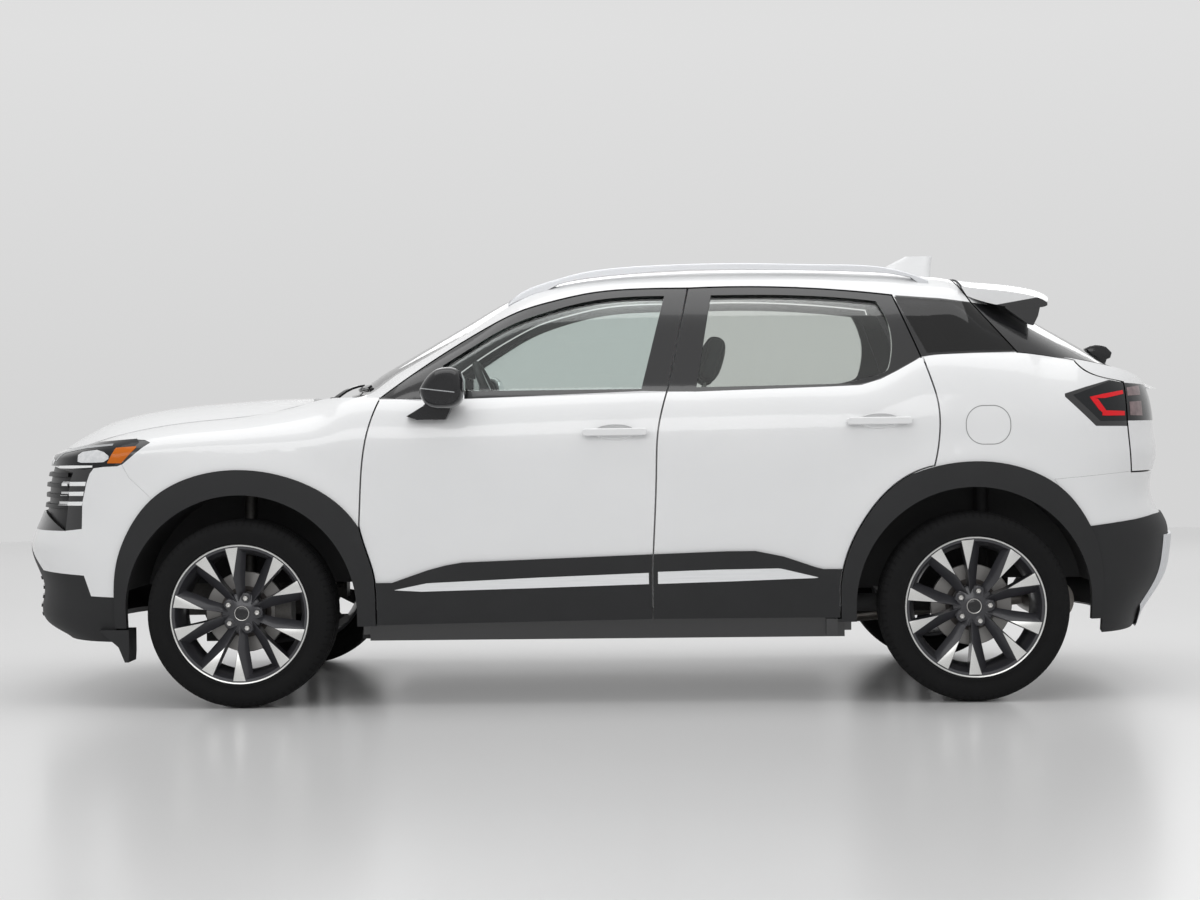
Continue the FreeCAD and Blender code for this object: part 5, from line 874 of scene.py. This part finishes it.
def pad(name, size, voxel, grooves):
    """A stuffed pad: a rounded block, blown up a little inside its cover and pulled in along its seams."""
    clay = Clay(name, "cube", size=1)
    clay.place(lambda spot: Vector([spot[axis] * (size[axis] - 0.016) for axis in range(3)]))
    bpy.ops.mesh.select_all(action="SELECT")
    bpy.ops.mesh.bevel(offset=min(size) * 0.3, segments=4, affect="EDGES")
    bpy.ops.object.mode_set(mode="OBJECT")
    piece = clay.piece
    applied(piece, "REMESH", mode="VOXEL", voxel_size=voxel)
    cover = piece.modifiers.new("cover", "CLOTH")
    cover.settings.use_pressure = True
    cover.settings.uniform_pressure_force = 4
    cover.settings.effector_weights.gravity = 0
    cover.point_cache.frame_start, cover.point_cache.frame_end = 1, PUFF_STEPS
    for step in range(1, PUFF_STEPS + 1):
        bpy.context.scene.frame_set(step)
    blown = piece.evaluated_get(bpy.context.evaluated_depsgraph_get())
    spots = [vert.co.copy() for vert in blown.data.vertices]
    piece.modifiers.remove(cover)
    for vert, spot in zip(piece.data.vertices, spots):
        move = spot - vert.co
        vert.co += move * min(1, PUFF / max(move.length, 1e-6))
    bpy.context.scene.frame_set(1)
    applied(piece, "SUBSURF", levels=1, render_levels=1)
    normals = [vert.normal.copy() for vert in piece.data.vertices]
    for vert, normal in zip(piece.data.vertices, normals):
        depth = sum(math.exp(-((vert.co[axis] - place) / SEAM_DEPTH) ** 2) for axis, place in grooves)
        vert.co -= normal * SEAM_DEPTH * min(depth, 1)
    bpy.ops.object.shade_smooth()
    piece.data.materials.append(seat_cloth)
    return piece


def set_pad(stuffed, name, spot, lean, *stands_for):
    change = Matrix.Translation(spot) @ Matrix.Rotation(lean, 4, "Y")
    fitted(moved_copy(stuffed, name, change), "body", "seat", *stands_for)


def leaned(foot, aside, level, along, up):
    """Spot on a back that leans about its foot."""
    return Vector((foot, aside, level)) + Matrix.Rotation(SEAT_LEAN, 4, "Y") @ Vector((along, 0, up))


front_cushion = pad("front_cushion", (0.52, 0.51, 0.15), 0.012, [(1, -0.15), (1, 0.15), (0, 0.05)])
front_back = pad("front_back", (0.12, 0.51, 0.64), 0.012, [(1, -0.15), (1, 0.15), (2, 0.0), (2, 0.2)])
head_pad = pad("head_pad", (0.09, 0.25, 0.19), 0.008, [(1, -0.1), (1, 0.1)])
bench_cushion = pad("bench_cushion", (0.52, 1.13, 0.15), 0.014, [(1, -0.17), (1, 0.17), (0, 0.05)])
bench_back = pad("bench_back", (0.12, 1.13, 0.56), 0.014, [(1, -0.17), (1, 0.17), (2, 0.12)])
for side, sign in SIDES:
    place = (FRONT_FOOT, sign * SEAT_ASIDE, FRONT_LEVEL)
    set_pad(front_cushion, f"front_cushion_{side}", Vector((-0.052, sign * SEAT_ASIDE, FRONT_LEVEL)), 0,
            *(["front_seats"] if sign > 0 else []))
    set_pad(front_back, f"front_back_{side}", leaned(*place, -0.06, 0.32), SEAT_LEAN)
    set_pad(head_pad, f"front_headrest_{side}", leaned(*place, -0.045, 0.735), SEAT_LEAN)
set_pad(bench_cushion, "rear_bench_cushion", Vector((-0.968, 0, BENCH_LEVEL)), 0, "rear_bench")
set_pad(bench_back, "rear_bench_back", leaned(BENCH_FOOT, 0, BENCH_LEVEL, -0.06, 0.28), SEAT_LEAN)
for name, aside in (("left", SEAT_ASIDE), ("middle", 0), ("right", -SEAT_ASIDE)):
    spot = leaned(BENCH_FOOT, aside, BENCH_LEVEL, -0.045, 0.655)
    set_pad(head_pad, f"rear_headrest_{name}", spot, SEAT_LEAN)
for piece in (front_cushion, front_back, head_pad, bench_cushion, bench_back):
    bpy.data.objects.remove(piece)

soft_black = grainy("cabin_plastic", ((0.018, 0.018, 0.02), (0.034, 0.034, 0.037)), (0.55, 0.25), (800, 3),
                    bump=(0.4, 0.0006))


def block(name, low, high, finish, bevel, segments=3, shape=None):
    """Rounded moulding between two corners, with its points moved by shape if it has one."""
    clay = Clay(name, "cube", size=1)
    low, high = Vector(low), Vector(high)
    clay.place(lambda spot: Vector([a + (b - a) * (share + 0.5) for a, b, share in zip(low, high, spot)]))
    bpy.ops.mesh.select_all(action="SELECT")
    bpy.ops.mesh.subdivide(number_cuts=4)
    if shape:
        clay.place(lambda spot: Vector(shape(*spot)))
    return clay.finished(finish, bevel, segments, angle=35)


def base_shape(x, y, z):
    return x * (0.72 + (z - 0.29) * 1.3), y, z


def rail(name, middle):
    bar = block(name, (-0.3, middle - 0.02, 0.266), (0.2, middle + 0.02, 0.292), nut_steel, 0.004)
    fitted(bar, "body", "steel")


def posts(name, foot, middle, level, up):
    """The two steel posts of one headrest."""
    pair = []
    for aside in (-0.05, 0.05):
        low = leaned(foot, middle, level, -0.05, up) + Vector((0, aside, 0))
        post = Clay("post", "cylinder", vertices=20, radius=0.006, depth=0.1)
        post = post.finished(nut_steel, 0.001, 1, angle=40)
        post.data.transform(Matrix.Translation(low) @ Matrix.Rotation(SEAT_LEAN, 4, "Y"))
        pair.append(post)
    fitted(merged(name, pair), "body", "steel")


for side, sign in SIDES:
    middle = sign * SEAT_ASIDE
    fitted(block(f"seat_base_{side}", (-0.26, middle - 0.2, 0.29), (0.15, middle + 0.2, 0.5), soft_black,
                 0.02, shape=base_shape), "body", "cabin")
    rail(f"seat_rail_{side}_in", middle - 0.17)
    rail(f"seat_rail_{side}_out", middle + 0.17)
    posts(f"front_headrest_posts_{side}", FRONT_FOOT, middle, FRONT_LEVEL, 0.63)
    posts(f"rear_headrest_posts_{side}", BENCH_FOOT, middle, BENCH_LEVEL, 0.55)


# Dashboard: a soft moulded top over a hard lower half, with a screen in the middle, a console behind it
# and a cowl over the instruments. The four vents have five slats between two bright bars.
COWL_HALF = 0.17
VENT_FACE = 0.487
skin = moved_copy(nodes["dashboard"], "dashboard_skin", Matrix.Identity(4))
bpy.ops.object.select_all(action="DESELECT")
bpy.context.view_layer.objects.active = skin
skin.select_set(True)
bpy.ops.object.mode_set(mode="EDIT")
bpy.ops.mesh.select_all(action="SELECT")
bpy.ops.mesh.remove_doubles(threshold=0.0001)
bpy.ops.mesh.dissolve_limited(angle_limit=math.radians(2))
bpy.ops.object.mode_set(mode="OBJECT")
applied(skin, "BEVEL", width=0.018, segments=4, limit_method="ANGLE")
bpy.ops.object.shade_smooth_by_angle(angle=math.radians(35))
skin.data.materials.clear()
skin.data.materials.append(soft_black)
fitted(skin, "body", "cabin", "dashboard")


def cowl_shape(x, y, z):
    return x, y, z + 0.02 * (1 - ((y - SEAT_ASIDE) / COWL_HALF) ** 2) * (z > 1.09)


def console_shape(x, y, z):
    return x, y, z + max(0, x - 0.3) * 0.9 * (z > 0.5)


fitted(block("instrument_cowl", (0.5, SEAT_ASIDE - COWL_HALF, 1.06), (0.66, SEAT_ASIDE + COWL_HALF, 1.125),
             soft_black, 0.012, shape=cowl_shape), "body", "cabin")
screen = block("centre_screen", (0.478, -0.15, 1.03), (0.5, 0.15, 1.2), trim_black, 0.006)
fitted(screen, "body", "gloss_black")
console = block("centre_console", (-0.25, -0.11, 0.28), (0.55, 0.11, 0.62), soft_black, 0.02,
                shape=console_shape)
fitted(console, "body", "cabin")
for name, aside in (("left", 0.6), ("mid_left", 0.1), ("mid_right", -0.1), ("right", -0.6)):
    slats = []
    for number in range(5):
        level = 0.975 + number * 0.011
        slats.append(block("slat", (VENT_FACE, aside - 0.055, level),
                           (VENT_FACE + 0.02, aside + 0.055, level + 0.0035), trim_black, 0.0012, 1))
    for level in (1.029, 0.963):
        slats.append(block("bar", (VENT_FACE + 0.002, aside - 0.062, level),
                           (VENT_FACE + 0.022, aside + 0.062, level + 0.007), strip_bright, 0.002, 1))
    fitted(merged(f"vent_{name}", slats), "body", "gloss_black")


# Steering wheel: a steel ring under stitched leather, with three spokes and a soft pad over the hub.
# A shroud with two stalks covers the column behind it.
WHEEL_SPOT = Matrix.Translation((0.3703, SEAT_ASIDE, 1.085)) @ Matrix.Rotation(math.radians(-65), 4, "Y")
STALK_NEAR, STALK_FAR = 0.04, 0.17


def leather():
    hide = Finish("wheel_leather")
    pores = hide.wire("TexVoronoi", {}, {"Vector": hide.wire("TexCoord", output="Object"), "Scale": 900.0})
    return hide.solid(base_color=hide.blend(pores, (0.016, 0.016, 0.017), (0.03, 0.03, 0.031)),
                      roughness=0.42 + pores * 0.2, normal=hide.bump(pores, 0.3, 0.0006))


def arm_shape(x, y, z):
    return x, y * (0.7 + x * 1.6), z


def shroud_shape(x, y, z):
    narrow = 1 - (z + 0.21) * 1.2
    return x * narrow, y * narrow, z


rim = Clay("wheel_rim", "torus", major_segments=96, minor_segments=20, major_radius=0.18, minor_radius=0.0148)
rim.place(lambda spot: Vector((spot.x, spot.y * 0.985 if spot.y < 0 else spot.y, spot.z)))
parts = [rim.finished(leather(), angle=60),
         block("hub_pad", (-0.06, -0.062, -0.012), (0.06, 0.062, 0.024), soft_black, 0.014)]
for turn in (90, 270, 360):
    arm = block("spoke", (0.045, -0.019, -0.006), (0.172, 0.019, 0.006), soft_black, 0.004, shape=arm_shape)
    inlay = block("inlay", (0.07, -0.008, 0.005), (0.16, 0.008, 0.0085), strip_bright, 0.0012, 1)
    for piece in (arm, inlay):
        piece.data.transform(Matrix.Rotation(math.radians(turn), 4, "Z"))
        parts.append(piece)
wheel = merged("steering_wheel_cover", parts)
wheel.data.transform(WHEEL_SPOT)
fitted(wheel, "steering_wheel", "cabin", "steering_wheel")
parts = [block("column_shroud", (-0.045, -0.05, -0.21), (0.045, 0.05, -0.045), soft_black, 0.012,
               shape=shroud_shape)]
for low, high in ((STALK_NEAR, STALK_FAR), (-STALK_FAR, -STALK_NEAR)):
    parts.append(block("stalk", (-0.006, low, -0.07), (0.006, high, -0.058), trim_black, 0.003))
column = merged("column_shroud", parts)
column.data.transform(WHEEL_SPOT)
fitted(column, "body", "cabin")


# Nose: a gloss black bar closes the opening between the lamps, clipped in from behind.
# Five gloss bars cross the air intake in the lower bumper.
BAR_HALF, BAR_FACE, BAR_LEVEL, BAR_HEIGHT, BAR_SLOPE = 0.4185, 2.0915, 0.8845, 0.043, 0.015
INTAKE_BARS = [(0.325, 0.46), (0.36, 0.5), (0.395, 0.53), (0.43, 0.53), (0.465, 0.5)]
INTAKE_BAR_HEIGHT = 0.012


def nose_spot(point):
    aside, high = point.x * BAR_HALF, (point.y + 1) / 2
    bow = 0.122 * aside ** 2 + 0.11 * aside ** 4
    return Vector((BAR_FACE - bow - high * BAR_SLOPE, aside, BAR_LEVEL + high * BAR_HEIGHT))


clay = Clay("nose_bar", "grid", x_subdivisions=48, y_subdivisions=3, size=2)
clay.place(nose_spot)
fitted(clay.finished(trim_black, wall=0.003), "body", "gloss_black")
for number, (level, half) in enumerate(INTAKE_BARS):
    low = level - INTAKE_BAR_HEIGHT
    fitted(laid(f"intake_bar_{number}", [(-half, level), (half, level)], [(-half, low), (half, low)],
                nodes["lower_front_bumper"], trim_black, 0.005, (48, 1), look="front"), "body", "gloss_black")


# Door mirrors: silvered glass set into the rear of each housing, and a clear indicator strip round its side.
silvered = grainy("silvered_glass", ((0.72, 0.74, 0.75),) * 2, (0.02, 0.03), (30,), metallic=1.0)
both_sides(laid("mirror_pane", [(0.846, 1.15), (0.85, 1.182), (0.864, 1.2), (0.9, 1.204), (0.97, 1.204),
                                (0.99, 1.195), (1.0, 1.17), (1.003, 1.14)],
                [(0.846, 1.14), (0.85, 1.118), (0.864, 1.1085), (0.9, 1.108), (0.97, 1.108), (0.99, 1.112),
                 (1.0, 1.12), (1.003, 1.138)],
                nodes["mirror_left"], silvered, 0.0015, (48, 8), look="rear", start=0.3),
           "mirror_pane", "front_door_{side}", "glass")
covers([("mirror_indicator", lamp_silver, [(0.47, 1.1375), (0.52, 1.1435), (0.575, 1.1505), (0.6, 1.153)],
         [(0.47, 1.134), (0.52, 1.14), (0.575, 1.147), (0.6, 1.1495)])],
       nodes["mirror_left"], "front_door_{side}", "lamp", 0.0005, (32, 2))


# Windscreen wipers: two steel arms on spindles in the cowl, with flat rubber blades along the glass's foot.
BLADE_DEEP = 0.014


def wiper(name, blade, root, reach, head, glass, body, *stands_for):
    """Blade pressed onto the glass, an arched arm that thins towards it, and the head over the spindle."""
    rubber = laid(f"{name}_blade", [(y, x + BLADE_DEEP) for y, x in blade], blade, nodes[glass], trim_black,
                  0.009, (48, 1), 0.002, "above")
    root = Vector(root)
    run = Vector(reach) - root

    def arched(x, y, z):
        return x, y * (1 - 0.55 * x / run.length), z + 0.012 * math.sin(math.pi * min(1, x / run.length))

    arm = block(f"{name}_arm", (0, -0.011, -0.004), (run.length, 0.011, 0.005), trim_black, 0.003, 2, arched)
    arm.data.transform(Matrix.Translation(root) @ run.to_track_quat("X", "Z").to_matrix().to_4x4())
    fitted(merged(name, [rubber, arm, head]), body, "gloss_black", *stands_for)


def spindle_cap(spot):
    cap = Clay("spindle_cap", "cylinder", vertices=32, radius=0.015, depth=0.018, location=spot)
    cap.pick(lambda place, normal: normal.z > 0.9)
    bpy.ops.mesh.inset(thickness=0.005)
    bpy.ops.transform.translate(value=(0, 0, 0.003))
    return cap.finished(trim_black, 0.002, 2)


for side, blade, spindle, reach in (
        ("left", [(-0.04, 0.925), (0.1, 0.918), (0.2, 0.904), (0.3, 0.885), (0.4, 0.862), (0.52, 0.826)],
         (0.99, 0.42, 1.118), (0.895, 0.25, 1.176)),
        ("right", [(-0.52, 0.832), (-0.4, 0.866), (-0.3, 0.888), (-0.2, 0.908), (-0.08, 0.922)],
         (0.99, -0.18, 1.124), (0.893, -0.29, 1.172))):
    wiper(f"wiper_{side}", blade, spindle, reach, spindle_cap(spindle), "windscreen", "body")


# Rear wiper: the same build on the tailgate, under a hooded plastic head that covers its spindle.
HEAD_LINE = [(-1.928, 1.289), (-1.9465, 1.2988), (-1.971, 1.304), (-1.9957, 1.3015), (-2.013, 1.295),
             (-2.0215, 1.2865), (-2.0356, 1.272), (-2.0295, 1.251), (-2.014, 1.2447), (-2.008, 1.223),
             (-1.9987, 1.213), (-1.971, 1.24), (-1.9465, 1.266)]
HEAD_X, HEAD_Z = -1.98, 1.26
HEAD_SLICES = ((0.028, 0.8), (0.024, 0.95), (0.014, 1.0), (-0.014, 1.0), (-0.024, 0.95), (-0.028, 0.8))


def wiper_head():
    middle = Vector((HEAD_X, 0, HEAD_Z))
    sections = []
    for aside, share in HEAD_SLICES:
        sections.append([middle + Vector(((x - middle.x) * share, aside, (z - middle.z) * share))
                         for x, z in HEAD_LINE])
    return drawn("wiper_head", sections).finished(trim_black, 0.0015, 2, angle=40)


wiper("rear_wiper_cover", [(-0.465, -1.94), (-0.06, -1.94)], (-1.985, -0.015, 1.281), (-1.934, -0.27, 1.264),
      wiper_head(), "tailgate_glass", "tailgate", "rear_wiper")


# Number plate: a blank white aluminium sheet with a rolled edge, held by two hexagon screws.
PLATE_X, PLATE_LEVEL, PLATE_WIDE, PLATE_HIGH, PLATE_THICK = -2.1168, 0.928, 0.305, 0.152, 0.0022
SCREW_X, SCREW_ASIDE, SCREW_LEVEL = -2.1186, 0.0889, 0.988
plate_white = grainy("plate_white", ((0.66, 0.67, 0.68), (0.74, 0.745, 0.75)), (0.3, 0.15), (14,),
                     coat_weight=0.3)
clay = Clay("number_plate", "cube", size=1)
clay.place(lambda spot: Vector((PLATE_X + spot.x * PLATE_THICK, spot.y * PLATE_WIDE,
                                PLATE_LEVEL + spot.z * PLATE_HIGH)))
clay.pick(lambda a, b: abs((a - b).normalized().x) > 0.9, "edges")
bpy.ops.mesh.bevel(offset=0.012, segments=5)
clay.pick(lambda place, normal: normal.x < -0.9)
bpy.ops.mesh.inset(thickness=0.004)
bpy.ops.transform.translate(value=(0.0009, 0, 0))
parts = [clay.finished(plate_white, 0.0003, 1)]
for aside in (-SCREW_ASIDE, SCREW_ASIDE):
    screw = Clay("plate_screw", "cylinder", vertices=6, radius=0.0068, depth=0.004)
    screw.place(lambda spot: Vector((SCREW_X + spot.z, aside + spot.y, SCREW_LEVEL + spot.x)))
    screw.pick(lambda place, normal: normal.x < -0.9)
    bpy.ops.mesh.inset(thickness=0.0022)
    bpy.ops.transform.translate(value=(-0.0008, 0, 0))
    parts.append(screw.finished(nut_steel, 0.0004, 2))
fitted(merged("number_plate", parts), "tailgate", "rail")


# Gutters beside the tailgate: the painted floor of the gap between its pillar and the rear shoulder.
GUTTER_IN, GUTTER_WIDE, GUTTER_DEEP = 0.636, 0.07, 0.006
INNER_EDGE = [(-1.865, 1.157), (-1.8, 1.178), (-1.7, 1.222), (-1.62, 1.236)]
OUTER_EDGE = [(-1.865, 1.156), (-1.8, 1.178), (-1.7, 1.206), (-1.62, 1.207)]


def gutter_spot(point):
    share, aside = (point.x + 1) / 2, (point.y + 1) / 2
    (x0, z0), (x1, z1) = along_line(INNER_EDGE, share), along_line(OUTER_EDGE, share)
    hollow = GUTTER_DEEP * (1 - (2 * aside - 1) ** 2)
    return Vector((x0, GUTTER_IN + aside * GUTTER_WIDE, z0 + (z1 - z0) * aside - hollow))


clay = Clay("gate_gutter", "grid", x_subdivisions=24, y_subdivisions=4, size=2)
clay.place(gutter_spot)
both_sides(clay.finished(panel_white, wall=0.0015), "gate_gutter", "body", "paint")


# Door linings: a soft armrest with a bright pull and a switch panel, and a round speaker cover below it.
SPEAKER_LEVEL, SPEAKER_RADIUS = 0.5, 0.075


def door_lining(front, rear):
    def rising(x, y, z):
        return x, y, z + 0.03 * max(0, (x - rear) / (front - rear)) * (z > 0.71)

    parts = [block("armrest", (rear, 0.69, 0.70), (front, 0.775, 0.748), soft_black, 0.014, shape=rising),
             block("switches", (front - 0.24, 0.7, 0.768), (front - 0.06, 0.75, 0.78), trim_black, 0.004)]
    for number in range(3):
        start = front - 0.22 + number * 0.05
        parts.append(block("switch", (start, 0.714, 0.777), (start + 0.03, 0.736, 0.785), soft_black, 0.002))
    parts.append(block("pull", (rear + 0.04, 0.745, 0.82), (rear + 0.2, 0.775, 0.84), strip_bright, 0.006))
    speaker_x = front - 0.12

    def at_middle(place, normal):
        return normal.y < -0.9 and math.hypot(place.x - speaker_x, place.z - SPEAKER_LEVEL) < 0.01

    cover = Clay("speaker", "cylinder", vertices=64, radius=SPEAKER_RADIUS, depth=0.02)
    cover.place(lambda spot: Vector((speaker_x + spot.x, 0.755 - spot.z, SPEAKER_LEVEL + spot.y)))
    for ring, shift in ((0.006, 0.0025), (0.012, -0.001), (0.016, -0.001)):
        cover.pick(at_middle)
        bpy.ops.mesh.inset(thickness=ring)
        bpy.ops.transform.translate(value=(0, shift, 0))
    parts.append(cover.finished(soft_black, 0.0008, 2))
    return merged("lining", parts)


for end, front, rear in (("front", 0.5, -0.12), ("rear", -0.45, -0.95)):
    both_sides(door_lining(front, rear), f"{end}_door_lining", end + "_door_{side}", "cabin")
